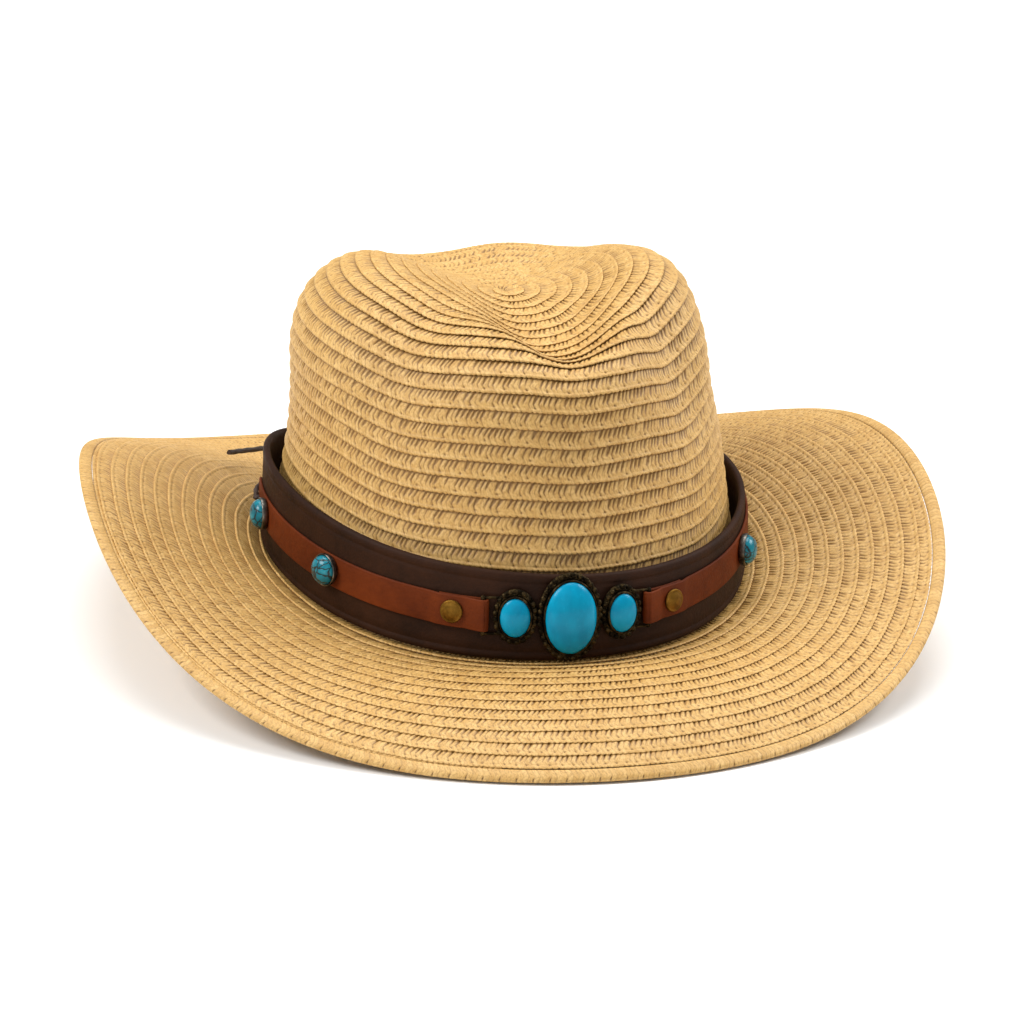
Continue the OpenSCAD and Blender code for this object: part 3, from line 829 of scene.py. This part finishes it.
STRAW = straw_look()
CORD = cord_look()
DARK_LEATHER = leather_look("dark leather", rgb(31, 15, 6), rgb(54, 29, 14), 0.10 * MM, 0.5)
RUST_LEATHER = leather_look("rust leather", rgb(74, 27, 4), rgb(108, 46, 12), 0.09 * MM, 0.5)
OLD_BRASS = metal_look("antique brass", rgb(26, 21, 14), rgb(98, 80, 50), 0.45, 0.82, 0.42)
RIVET_BRASS = metal_look("rivet brass", rgb(76, 52, 15), rgb(130, 94, 36), 0.35, 0.65, 0.40, 200)
SILVER = metal_look("silver", rgb(58, 54, 48), rgb(150, 146, 138), 0.38, 0.72, 0.3, 240)
STEEL = metal_look("steel wire", rgb(90, 92, 95), rgb(160, 162, 166), 0.35, 0.7, 0.35)
SOFT_BRASS = metal_look("ferrule brass", rgb(120, 96, 48), rgb(190, 158, 90), 0.35, 0.7, 0.3)
TURQUOISE = turquoise_look()
VEINED = veined_look()
CLOTH = cloth_look()
BLACK_THREAD = thread_look("seam thread", rgb(24, 18, 14), rgb(58, 46, 38))


# -------- floor and light

FLOOR_HALF = 4.0
FLOOR_DOWN = 0.2 * MM
AIM_HEIGHT = 0.05
WORLD_STRENGTH = 0.34
# Name, azimuth and elevation in degrees, distance and size in metres, power in watts
LIGHTS = (("left light", -84, 42, 1.9, 0.9, 29), ("right light", 92, 40, 1.9, 0.9, 24),
          ("top light", 165, 74, 1.9, 1.4, 30), ("front fill", -16, 26, 2.2, 1.6, 3.5))


def add_floor():
    corners = [(x * FLOOR_HALF, y * FLOOR_HALF, -FLOOR_DOWN)
               for x, y in ((-1, -1), (1, -1), (1, 1), (-1, 1))]
    floor = new_mesh("floor", corners, [[0, 1, 2, 3]])
    n = Nodes("pale floor")
    n.set(Base_Color=rgb(243, 243, 242), Roughness=0.85, Specular_IOR_Level=0.2)
    floor.data.materials.append(n.material)


def add_light(name, azimuth, elevation, distance, size, power):
    """Soft square light aimed at the hat."""
    way = direction(azimuth, elevation)
    data = bpy.data.lights.new(name, "AREA")
    data.size = size
    data.energy = power
    lamp = bpy.data.objects.new(name, data)
    lamp.location = Vector((0, 0, AIM_HEIGHT)) + way * distance
    lamp.rotation_euler = way.to_track_quat("Z", "Y").to_euler()
    linked(lamp)


def add_studio():
    add_floor()
    for light in LIGHTS:
        add_light(*light)
    world = bpy.data.worlds.new("studio")
    world.use_nodes = True
    background = world.node_tree.nodes["Background"].inputs
    background["Color"].default_value = (1, 1, 1, 1)
    background["Strength"].default_value = WORLD_STRENGTH
    bpy.context.scene.world = world
    bpy.context.scene.view_settings.view_transform = "Standard"


# -------- hem
# The last strip is folded round the shaping wire. Its section runs outward from the brim's last
# row and up from the brim's face.

HEM_SECTION = np.array([
    (0.0, -0.7), (0.1, -0.35), (0.5, -0.1), (1.2, 0.02), (2.0, 0.08), (2.8, 0.08), (3.5, 0.02),
    (4.1, -0.12), (4.55, -0.32), (4.88, -0.65), (5.0, -1.1), (4.88, -1.55), (4.55, -1.95), (4.1, -2.2),
    (3.4, -2.36), (2.4, -2.42), (1.4, -2.4), (0.6, -2.3), (0.1, -2.05), (0.0, -1.4)]) * MM
HEM_STITCH_AT = 4.6 * MM
HEM_STITCH_EVERY = 3
HEM_MIDDLE = np.array([2.5, -1.05]) * MM


def add_hem(brim, look):
    """Closed strip round the brim's edge, with its strands and a row of stitches."""
    rng = np.random.default_rng(23)
    edge = brim[:, -1]
    spare = np.array([arc(line)[-1] for line in brim]) - HEM_WIDTH
    start = np.array([[np.interp(spare[i], arc(brim[i]), brim[i][:, k]) for k in range(3)]
                      for i in range(FULL)])
    out = unit(edge - start)
    way = unit(np.roll(edge, -1, axis=0) - np.roll(edge, 1, axis=0))
    up = unit(np.cross(way, out))
    up *= np.sign(up[:, 2:])
    lap = arc(np.concatenate([edge, edge[:1]]))
    count = int(lap[-1] / STRAND)
    u = (np.arange(count)[:, None] + STATIONS[None]).ravel() * lap[-1] / count
    number = np.repeat(np.arange(count), len(STATIONS))
    station = np.tile(np.arange(len(STATIONS)), count)
    x, y = HEM_SECTION.T
    turn = np.interp((u[:, None] - leaned(x)[None]) % lap[-1], lap, np.arange(FULL + 1))
    i = np.floor(turn).astype(int) % FULL
    f = (turn - np.floor(turn))[..., None]

    def blend(a):
        return a[i] * (1 - f) + a[(i + 1) % FULL] * f

    gap = rng.uniform(0.4, 1.2, count)
    share = at_gap(station, 0.2)
    depth = share * np.where(station == 3, np.roll(gap, -1)[number], gap[number]) * 0.1 * MM
    is_hole = (number % HEM_STITCH_EVERY == 0) & (station == 0)
    hole = is_hole[:, None] * hump(x, HEM_STITCH_AT, 0.5 * MM)[None]
    pull = unit(HEM_SECTION - HEM_MIDDLE)
    sunk = depth[:, None] * (x > 0.3 * MM)[None] + 0.45 * MM * hole * (y > -1 * MM)[None]
    right = x[None] - pull[None, :, 0] * sunk
    high = y[None] - pull[None, :, 1] * sunk
    verts = blend(start) + blend(out) * right[..., None] + blend(up) * high[..., None]
    tint = np.where(station == 0, 0.5, rng.uniform(0, 1, count)[number])[:, None] * np.ones_like(x)[None]
    # Painted shade in the strands' gaps and the stitch holes, and along the strip's inner side where it meets the
    # brim's last row.
    shade = np.clip(depth[:, None] / (0.32 * MM) + hole * (y > -1 * MM)[None], 0, 1)
    shade = np.maximum(shade, (x < 0.2 * MM)[None] * (0.25 + 0.5 * share[:, None]))
    obj = sheet("hem_strip", placed(verts), True, strip_map(u, arc(HEM_SECTION)),
                {"tint": tint, "shade": shade})
    tidy_normals(obj)
    finish_piece(obj, "hat", look, "straw", "brim_hem")


# -------- sweatband

SWEATBAND_HIGH = 30 * MM
SWEATBAND_STEPS = 720
STITCH_COUNT = 200
STITCH_IN = 2.95 * MM
STITCH_LOW = 3.2
STITCH_RISE = 1.8


def add_sweatband(crown, look, thread):
    """Cloth strip sewn round the inside of the crown's foot, its top edge folded over."""
    t = np.arange(SWEATBAND_STEPS) * TAU / SWEATBAND_STEPS
    rng = np.random.default_rng(5)
    ripple = wander(rng, 1.0, 0.011)
    high = np.array([0.6, 1.5, 4, 8, 12, 16, 20, 24, 26, 27, 28, 29, 29.7, 30]) * MM
    face = np.array([2.5, 2.7, 2.8, 2.75, 2.75, 2.75, 2.75, 2.8, 2.75, 3.05, 3.3, 3.3, 3.1, 2.7]) * MM
    back = np.full(len(high), 2.12) * MM
    heights = np.concatenate([high, high[::-1]])
    depth = np.concatenate([face, back])
    walls = np.empty((FULL, len(heights), 2))
    for i in range(FULL):
        low_half = crown[i][CROWN_SAMPLES // 2:][::-1]
        for k in range(2):
            walls[i, :, k] = np.interp(heights, low_half[:, 2] - BREAK[i], low_half[:, k])
    a = np.degrees(t)
    i, f = np.floor(a).astype(int) % FULL, (a % 1)[:, None, None]
    wall = walls[i] * (1 - f) + walls[(i + 1) % FULL] * f
    lap = lap_round(t)
    soft = 0.16 * MM * ripple(lap)[:, None] * np.sin(heights / SWEATBAND_HIGH * math.pi)[None]
    seam = 0.35 * MM * hump(a, BACK, 0.5)[:, None]
    inward = depth[None] + np.where(depth[None] > 2.2 * MM, soft - seam, 0)
    flat = wall - outward(t)[:, None] * inward[..., None]
    rise = break_at(t)[:, None] + heights[None]
    verts = np.concatenate([flat, rise[..., None]], -1)
    uv = strip_map(lap, arc(np.stack([heights, depth], -1)))
    obj = new_mesh("sweatband_cloth", placed(verts).reshape(-1, 3),
                   grid_quads(len(t), len(heights), close_rows=True, close_cols=True)[:, ::-1],
                   uv.reshape(-1, 2))
    finish_piece(obj, "hat", look, "sweatband_cloth", "sweatband")
    add_sweatband_stitches(walls, thread)


def add_sweatband_stitches(walls, look):
    """Zigzag of thread that holds the cloth's foot to the straw, one bar for each stitch."""
    ends = []
    for k, t in enumerate(np.arange(STITCH_COUNT) * TAU / STITCH_COUNT):
        i = int(round(math.degrees(t))) % FULL
        rise = BREAK[i] + (STITCH_LOW + STITCH_RISE * (k % 2)) * MM
        ends.append([*(walls[i, 2] - outward(t) * STITCH_IN), rise])
    ends = np.array(ends)
    lines = zip(ends, np.roll(ends, -1, axis=0))
    add_bars("sweatband_stitches", lines, 0.25 * MM, look, "hat", "sweatband_cloth")


def add_bars(name, lines, radius, look, body, slot):
    """Many short thread bars with rounded ends in one piece."""
    sides, shares = 6, [(0.0, 0.5), (0.1, 1.0), (0.9, 1.0), (1.0, 0.5)]
    turn = np.arange(sides) * TAU / sides
    verts, quads = [], []
    for a, b in lines:
        way = unit(b - a)
        side = unit(np.cross(way, [0.3, 0.2, 1.0]))
        up = np.cross(side, way)
        first = len(verts)
        for along, wide in shares:
            for angle in turn:
                ring = side * math.cos(angle) + up * math.sin(angle)
                verts.append(a + (b - a) * along + ring * radius * wide)
        quads.extend((grid_quads(len(shares), sides, close_cols=True) + first).tolist())
        last = first + (len(shares) - 1) * sides
        for start in (first, last):
            quads.append([start, start + 1, start + 2, start + 3])
            quads.append([start, start + 3, start + 4, start + 5])
    obj = new_mesh(name, placed(np.array(verts)), quads)
    tidy_normals(obj)
    finish_piece(obj, body, look, slot)


# -------- hatband
# The band stands up from just outside the crown's foot and leans in a little. A place on it is an
# angle round the crown, a height above the line between crown and brim, and a distance off its face.

BAND_FOOT_OUT = 3 * MM
BAND_LEAN = math.radians(1.5)
BAND_TOP = 33 * MM
BAND_TILT = 3.4 * MM
BAND_THICK = 2.6 * MM
STRAP_MID = 17.8 * MM
STRAP_WIDTH = 12 * MM
STRAP_THICK = 1.2 * MM
STRAP_END = 104
LACE_HOLE = 99
GAP = 0.05 * MM
DEG = math.pi / 180
BAND_STEPS = 960
BAND_FACE_POINTS = 21


def band_at(t, height, out):
    """Place on the band, in the hat's frame."""
    t, height, out = np.broadcast_arrays(*(np.asarray(v, float) for v in (t, height, out)))
    flat = oval(t, BAND_FOOT_OUT - height * math.tan(BAND_LEAN) + out)
    return np.concatenate([flat, (break_at(t) + height)[..., None]], -1)


def band_section(top, low):
    """Outline of the band, as height and distance out, with a rolled edge at top and foot."""
    face = [(low, -1.5), (low + 0.15, -0.6), (low + 0.7, -0.02), (low + 1.5, 0.14), (low + 2.4, 0.1),
            (low + 2.9, -0.16), (low + 3.2, -0.2), (low + 3.6, 0.0), (low + 6, 0.0), (14, 0.0), (18, 0.0),
            (22, 0.0), (top - 5.6, 0.0), (top - 4.3, 0.0), (top - 3.9, -0.2), (top - 3.6, -0.16),
            (top - 3.1, 0.1), (top - 2.0, 0.15), (top - 0.9, 0.02), (top - 0.25, -0.5), (top, -1.3)]
    back = [(top - 0.25, -2.1), (top - 0.9, -2.55), (top - 2.5, -2.6), (22, -2.6), (14, -2.6),
            (low + 2, -2.6), (low + 0.6, -2.4)]
    return np.array(face + back) * MM


def add_band(brim, look):
    t = np.arange(BAND_STEPS) * TAU / BAND_STEPS
    first = brim[:, 4] - brim[:, 0]
    slope = first[:, 2] / np.linalg.norm(first[:, :2], axis=-1)
    low = 0.5 + 2.2 * around(t, np.clip(slope, 0, None))
    rng = np.random.default_rng(3)
    lap = lap_round(t)
    wave = wander(rng, 1.0, 0.024)(lap) * 0.08 * MM
    wave *= smooth(t / 0.2) * smooth((TAU - t) / 0.2)
    top = (BAND_TOP - BAND_TILT * np.sin(t)) / MM
    section = np.array([band_section(*v) for v in zip(top, low)])
    seam = 0.5 * MM * hump(np.degrees(t), BACK, 0.35)
    is_face = np.arange(section.shape[1]) < BAND_FACE_POINTS
    out = section[..., 1] + np.where(is_face[None], wave[:, None] - seam[:, None], 0)
    rise = section[..., 0] + (wave * 1.6)[:, None] * (section[..., 0] > 24 * MM)
    verts = band_at(t[:, None], rise, out)
    obj = sheet("band_rolled_leather", placed(verts), True)
    tidy_normals(obj)
    finish_piece(obj, "band", look, "dark_leather", "band_leather")


# -------- straps
# Each strap lies flat on the band, climbs over its own folded end, turns round the concho's end
# bar and comes back underneath.

BAR_ANGLE = 19.3
BAR_OUT = 2.2 * MM
BAR_R = 0.9 * MM
MM_PER_DEGREE = 1.667 * MM


def strap_path():
    """Middle of the strap's thickness, as angles in degrees and distances off the band."""
    half = STRAP_THICK / 2
    over = half + STRAP_THICK + 3 * GAP
    flat = [(t, half) for t in np.arange(STRAP_END, 34, -2.0)]
    climb = [(32, half + 0.3 * MM), (30, over - 0.25 * MM), (28.5, over), (25, over), (23.2, over + GAP),
             (21.2, over + 1.15 * MM)]
    wide = BAR_R + 0.1 * MM + half
    bend = [(BAR_ANGLE - wide * math.sin(a) / MM_PER_DEGREE, BAR_OUT + wide * math.cos(a))
            for a in np.linspace(0, math.pi, 9)]
    tuck = [(t, half) for t in (20.5, 23, 26, 29.5)]
    path = spline([(*p, 0) for p in flat + climb + bend + tuck], 4)
    return path[:, 0], path[:, 1]


def strap_outline():
    """Rounded strip section, as shares of half the width and half the thickness."""
    wide, thick = STRAP_WIDTH / 2, STRAP_THICK / 2
    flat = [(x * wide, thick * (1 - 0.10 * abs(x) ** 6))
            for x in (-0.93, -0.86, -0.8, -0.5, 0, 0.5, 0.8, 0.86, 0.93)]
    side = [(wide - 0.12 * MM, thick * 0.62), (wide, 0), (wide - 0.12 * MM, -thick * 0.62)]
    below = [(-x, -y) for x, y in flat]
    left = [(-x, -y) for x, y in side]
    return np.array(flat + side + below + left)


def add_strap(side, name, look):
    degrees, out = strap_path()
    t = side * degrees * DEG
    middle = band_at(t, STRAP_MID, out)
    up = unit(band_at(t, STRAP_MID + STRAP_WIDTH / 2, out) - band_at(t, STRAP_MID - STRAP_WIDTH / 2, out))
    way = unit(np.gradient(middle, axis=0))
    face = unit(np.cross(way, up)) * side
    outline = strap_outline()
    run = arc(middle)
    narrow = np.where(run < 2 * MM, np.sqrt(np.clip(1 - (1 - run / (2 * MM)) ** 2, 0.12, 1)), 1)
    trim = 1 - (1 - narrow) * 0.28
    crease = -0.10 * MM * hump(np.abs(outline[:, 0]), STRAP_WIDTH * 0.43, 0.35 * MM)
    high = outline[:, 1] + crease * np.sign(outline[:, 1])
    verts = (middle[:, None] + up[:, None] * (outline[:, 0][None] * trim[:, None])[..., None]
             + face[:, None] * high[None, :, None])
    node = "strap_left" if side < 0 else "strap_right"
    finish_piece(rod(name, placed(verts)), "band", look, "rust_leather", node)


# -------- concho, studs and rivets

LARGE_STONE = np.array([19.5, 27.5, 6.5]) * MM
SMALL_STONE = np.array([11.5, 15.0, 4.5]) * MM
SETTING_ANGLE = 12.2
SETTING_LIFT = 0.15 * MM
PLATE = 1.2 * MM
BEZEL_WALL = 0.6 * MM
BEAD_RIM = 2.4 * MM
BEAD_SQUEEZE = 0.7 * MM
BEAD_PITCH = 2.5 * MM
STUD_ANGLES = (-88.9, -58.7, 58.7)
STUD_R = 5.5 * MM
RIVET_ANGLE = 26.2
RIVET_R = 4.3 * MM
TURNED_SIDES = 56
BEAD_SHAPE = np.array([1.1, 1.1, 0.85]) * MM


class Spot:
    """Frame on the band at strap height: x along the band, y up it and z outward."""

    def __init__(self, degrees, out):
        t = degrees * DEG
        self.origin = band_at(t, STRAP_MID, out)
        way = outward(t)
        self.x = np.array([-way[1], way[0], 0])
        self.z = np.array([*(way * math.cos(BAND_LEAN)), math.sin(BAND_LEAN)])
        self.y = np.cross(self.z, self.x)

    def at(self, local):
        local = np.asarray(local, float)
        axes = np.stack([self.x, self.y, self.z])
        return placed(self.origin + local @ axes)


def lathe(profile, wide=1.0, high=1.0, sides=64):
    """Rings of a round or oval turned shape. profile lists radius or offset and height."""
    turn = np.arange(sides) * TAU / sides
    rings = [[(r * wide * math.cos(a), r * high * math.sin(a), z) for a in turn] for r, z in profile]
    return np.array(rings)


def oval_rings(section, size, sides=96, squeeze=0.0):
    """Rings of a section carried round an oval. section lists distance off the oval and height."""
    turn = np.arange(sides) * TAU / sides
    base = np.stack([size[0] / 2 * np.cos(turn), size[1] / 2 * np.sin(turn)], -1)
    way = unit(np.stack([size[1] * np.cos(turn), size[0] * np.sin(turn)], -1))
    give = 1 - squeeze * np.abs(way[:, :1]) ** 3
    rings = [np.concatenate([base + way * off * give, np.full((sides, 1), z)], -1) for off, z in section]
    return np.array(rings)


def closed_shell(name, spot, rings):
    """Piece from rings that closes on itself round the section, like a tyre."""
    obj = sheet(name, spot.at(rings), True)
    tidy_normals(obj)
    return obj


def domed(name, spot, rings):
    """Piece from rings, closed flat at its first ring and by a small cap at its last."""
    return rod(name, spot.at(rings))


def turned(name, spot, profile, radius):
    """Small turned piece. profile lists shares of the radius and heights in millimetres."""
    return domed(name, spot, lathe([(r * radius, z * MM) for r, z in profile], sides=TURNED_SIDES))


def join(name, parts):
    """One piece made of several separate closed meshes."""
    for part in parts[1:]:
        part.data.transform(parts[0].matrix_world.inverted() @ part.matrix_world)
    mesh = bmesh.new()
    for part in parts:
        mesh.from_mesh(part.data)
    data = bpy.data.meshes.new(name)
    mesh.to_mesh(data)
    mesh.free()
    for part in parts:
        old = part.data
        bpy.data.objects.remove(part)
        bpy.data.meshes.remove(old)
    return linked(bpy.data.objects.new(name, data))


def cabochon(name, spot, size, look, node, slot):
    """Oval stone with a full dome and a straight foot."""
    rise = size[2]
    foot = 1.5 * MM
    steps = np.linspace(0, math.pi / 2, 18)[:-1]
    dome = [(math.cos(a) ** 0.86, foot + (rise - foot) * math.sin(a) ** 0.96) for a in steps]
    profile = [(0.99, 0.02 * MM), (0.995, 0.5 * MM)] + dome + [(0.04, rise - 0.01 * MM), (0.012, rise)]
    rings = lathe(profile, size[0] / 2 - 0.05 * MM, size[1] / 2 - 0.05 * MM, 72)
    rings[..., 2] += PLATE
    finish_piece(domed(name, spot, rings), "band", look, slot, node)


def bezel(name, spot, size, look, node):
    """Thin wall round a stone: its lip is pressed in over the stone's edge."""
    section = np.array([(0.02, 0.02), (0.02, 1.9), (-0.22, 2.35), (-0.2, 2.6), (0.1, 2.72), (0.42, 2.55),
                        (0.58, 2.1), (0.6, 1.0), (0.6, 0.02)]) * MM
    section[:, 1] += PLATE
    finish_piece(closed_shell(name, spot, oval_rings(section, size)), "band", look, "antique_brass", node)


def bead_ring(name, spot, size, look, node):
    """Cast rim: a low rail, a fine twisted wire inside and round beads outside."""
    rail = np.array([(0.62, 0.02), (0.62, 0.75), (1.0, 0.95), (2.2, 0.85), (2.75, 0.5), (2.85, 0.02)]) * MM
    rail[:, 1] += PLATE
    squeeze = BEAD_SQUEEZE / (BEZEL_WALL + BEAD_RIM)
    parts = [closed_shell("rail", spot, oval_rings(rail, size, 144, squeeze))]
    parts.append(twisted_wire(spot, size, 1.02 * MM, 0.34 * MM))
    line = oval_rings([(1.95 * MM, PLATE + 0.95 * MM)], size, 720, squeeze)[0]
    run = arc(np.concatenate([line, line[:1]]))
    count = int(round(run[-1] / BEAD_PITCH))
    ball = lathe([(math.sin(a), -math.cos(a)) for a in np.linspace(0.12, math.pi - 0.12, 9)], sides=14)
    for k in range(count):
        middle = [np.interp(k * run[-1] / count, run, np.append(line[:, c], line[0, c])) for c in range(3)]
        parts.append(domed("bead", spot, ball * BEAD_SHAPE + np.array(middle)))
    finish_piece(join(name, parts), "band", look, "antique_brass", node)


def twisted_wire(spot, size, off, radius):
    """Two fine wires twisted together round the bezel."""
    sides, steps = 10, 480
    turn = np.arange(steps) * TAU / steps
    base = oval_rings([(off, PLATE + 1.15 * MM)], size, steps)[0]
    out = unit(np.stack([size[1] * np.cos(turn), size[0] * np.sin(turn), 0 * turn], -1))
    angle = np.arange(sides) * TAU / sides
    twists = round(math.pi * (size[0] + size[1]) / 2 / (1.6 * MM))
    swell = radius * (1 + 0.28 * np.cos(2 * angle[None] - twists * turn[:, None]))
    ring = base[:, None] + out[:, None] * (swell * np.cos(angle))[..., None]
    ring[..., 2] += swell * np.sin(angle)
    return closed_shell("wire", spot, ring)


def add_concho():
    for name, angle, size in (("large", 0, LARGE_STONE), ("left", -SETTING_ANGLE, SMALL_STONE),
                              ("right", SETTING_ANGLE, SMALL_STONE)):
        spot = Spot(angle, SETTING_LIFT)
        cabochon(f"cabochon_{name}", spot, size, TURQUOISE, f"stone_{name}", "turquoise")
        bezel(f"setting_{name}", spot, size, OLD_BRASS, f"bezel_{name}")
        bead_ring(f"bead_rim_{name}", spot, size, OLD_BRASS, f"beads_{name}")


def add_rivets():
    """Pressed caps: a soft dome inside a low rolled edge."""
    profile = [(0.93, 0), (1.0, 0.15), (1.0, 0.62), (0.955, 0.92), (0.90, 1.0), (0.85, 0.93), (0.79, 0.98),
               (0.65, 1.28), (0.5, 1.5), (0.34, 1.66), (0.18, 1.74), (0.03, 1.76)]
    parts = []
    for side in (-1, 1):
        spot = Spot(side * RIVET_ANGLE, 2 * STRAP_THICK + 2 * GAP + 0.12 * MM)
        parts.append(turned("cap", spot, profile, RIVET_R))
    finish_piece(join("rivet_domes", parts), "band", RIVET_BRASS, "brass", "rivet_caps")


def add_studs():
    """Silver cups with a rolled edge, each holding a round dome of veined stone."""
    cup = [(0.80, 0.0), (1.04, 0.12), (1.09, 0.7), (1.11, 1.6), (1.115, 2.1), (1.10, 2.32), (1.05, 2.36),
           (1.01, 2.2), (1.0, 1.6), (1.0, 0.82), (0.5, 0.8), (0.02, 0.8)]
    stone = [(0.985, 0.82), (0.985, 2.2)]
    stone += [(0.985 * math.cos(a) ** 0.9, 2.2 + 3.65 * math.sin(a)) for a in np.linspace(0.12, 1.5, 14)]
    cups, stones = [], []
    for angle in STUD_ANGLES:
        spot = Spot(angle, STRAP_THICK + 0.1 * MM)
        cups.append(turned("cup", spot, cup, STUD_R))
        stones.append(turned("dome", spot, stone, STUD_R))
    finish_piece(join("stud_silver_cups", cups), "band", SILVER, "silver", "stud_cups")
    finish_piece(join("stud_veined_domes", stones), "band", VEINED, "veined_turquoise", "stud_stones")


# -------- tie cord

KNOT_AT = np.array([0, 108, 20]) * MM
LACE_END = np.array([4, 107.4, 18.8]) * MM
CORD_TWIST = 0.09


def lace_line(side):
    """Out of the hole in the strap, over the strap's end, then round the band to the knot."""
    over = STRAP_THICK + CORD_D / 2 + GAP
    low = CORD_D / 2 + GAP
    rises = [(LACE_HOLE, -BAND_THICK - 0.3 * MM), (LACE_HOLE, 1 * MM), (LACE_HOLE, over + 0.2 * MM),
             (101.5, over), (STRAP_END, over), (106, over - 0.2 * MM), (108.5, low + 0.2 * MM)]
    on_band = [(t, low) for t in range(110, 176, 5)]
    places = placed([band_at(t * DEG, STRAP_MID, out) for t, out in rises + on_band])
    ends = np.array([LACE_END + np.array([2, 0, 0]) * MM, LACE_END])
    line = spline(np.concatenate([places, ends]), 10)
    return line * np.array([side, 1, 1])


def add_cord_piece(name, line, look, *nodes):
    obj = tube(name, line, CORD_D / 2 * 0.98, 20, CORD_TWIST)
    return finish_piece(obj, "band", look, "cord", *nodes)


def add_tail(name, route, look, node):
    """A free tail: it leaves the knot, runs close to the brim and ends cut."""
    line = spline(route, 24)
    obj = add_cord_piece(name, line, look, node)


def knot_line():
    """Barrel knot: three turns round the cords' own core."""
    turns, half, coil = 3.25, 3.05 * MM, 1.52 * MM
    a = np.linspace(0, turns * TAU, 160)
    x = np.linspace(-half, half, len(a))
    return KNOT_AT + np.stack([x, coil * np.cos(a), coil * np.sin(a)], -1)


def add_cords():
    add_tail("tail_left_cord", TAIL_LEFT, CORD, "tail_left")
    add_tail("tail_right_cord", TAIL_RIGHT, CORD, "tail_right")
    add_cord_piece("lace_left_cord", lace_line(-1), CORD, "lace_left")
    add_cord_piece("lace_right_cord", lace_line(1), CORD, "lace_right")
    add_cord_piece("knot_turns", knot_line(), CORD, "tie_knot")
    core = np.stack([np.linspace(-3.9, 3.9, 24), np.zeros(24), np.zeros(24)], -1) * MM + KNOT_AT
    add_cord_piece("knot_core", core, CORD)


# -------- the CAD pieces that stay

# A CAD piece whose shape is right keeps it and gets its material. The rest get theirs too.

NODE_LOOKS = (
    (STRAW, "crown brim brim_hem"), (STEEL, "brim_wire"), (SOFT_BRASS, "wire_ferrule"),
    (CLOTH, "sweatband"), (DARK_LEATHER, "band_leather"), (RUST_LEATHER, "strap_left strap_right"),
    (OLD_BRASS, "concho_frame bezel_large bezel_left bezel_right beads_large beads_left beads_right"),
    (TURQUOISE, "stone_large stone_left stone_right"), (RIVET_BRASS, "rivet_caps rivet_posts"),
    (SILVER, "stud_cups stud_posts"), (VEINED, "stud_stones"),
    (CORD, "lace_left lace_right tie_knot tail_left tail_right"))


def dress_frame():
    for look, nodes in NODE_LOOKS:
        for node in nodes.split():
            data = frame["nodes"][node].data
            data.materials.clear()
            data.materials.append(look)


# -------- the whole hat

def build_hat():
    dress_frame()
    add_cords()
    crown, brim = read_crown(), read_brim()
    add_braid(crown, brim, STRAW)
    add_hem(brim, STRAW)
    add_sweatband(crown, CLOTH, BLACK_THREAD)
    add_band(brim, DARK_LEATHER)
    add_strap(-1, "strap_left_leather", RUST_LEATHER)
    add_strap(1, "strap_right_leather", RUST_LEATHER)
    add_concho()
    add_rivets()
    add_studs()


add_studio()
build_hat()
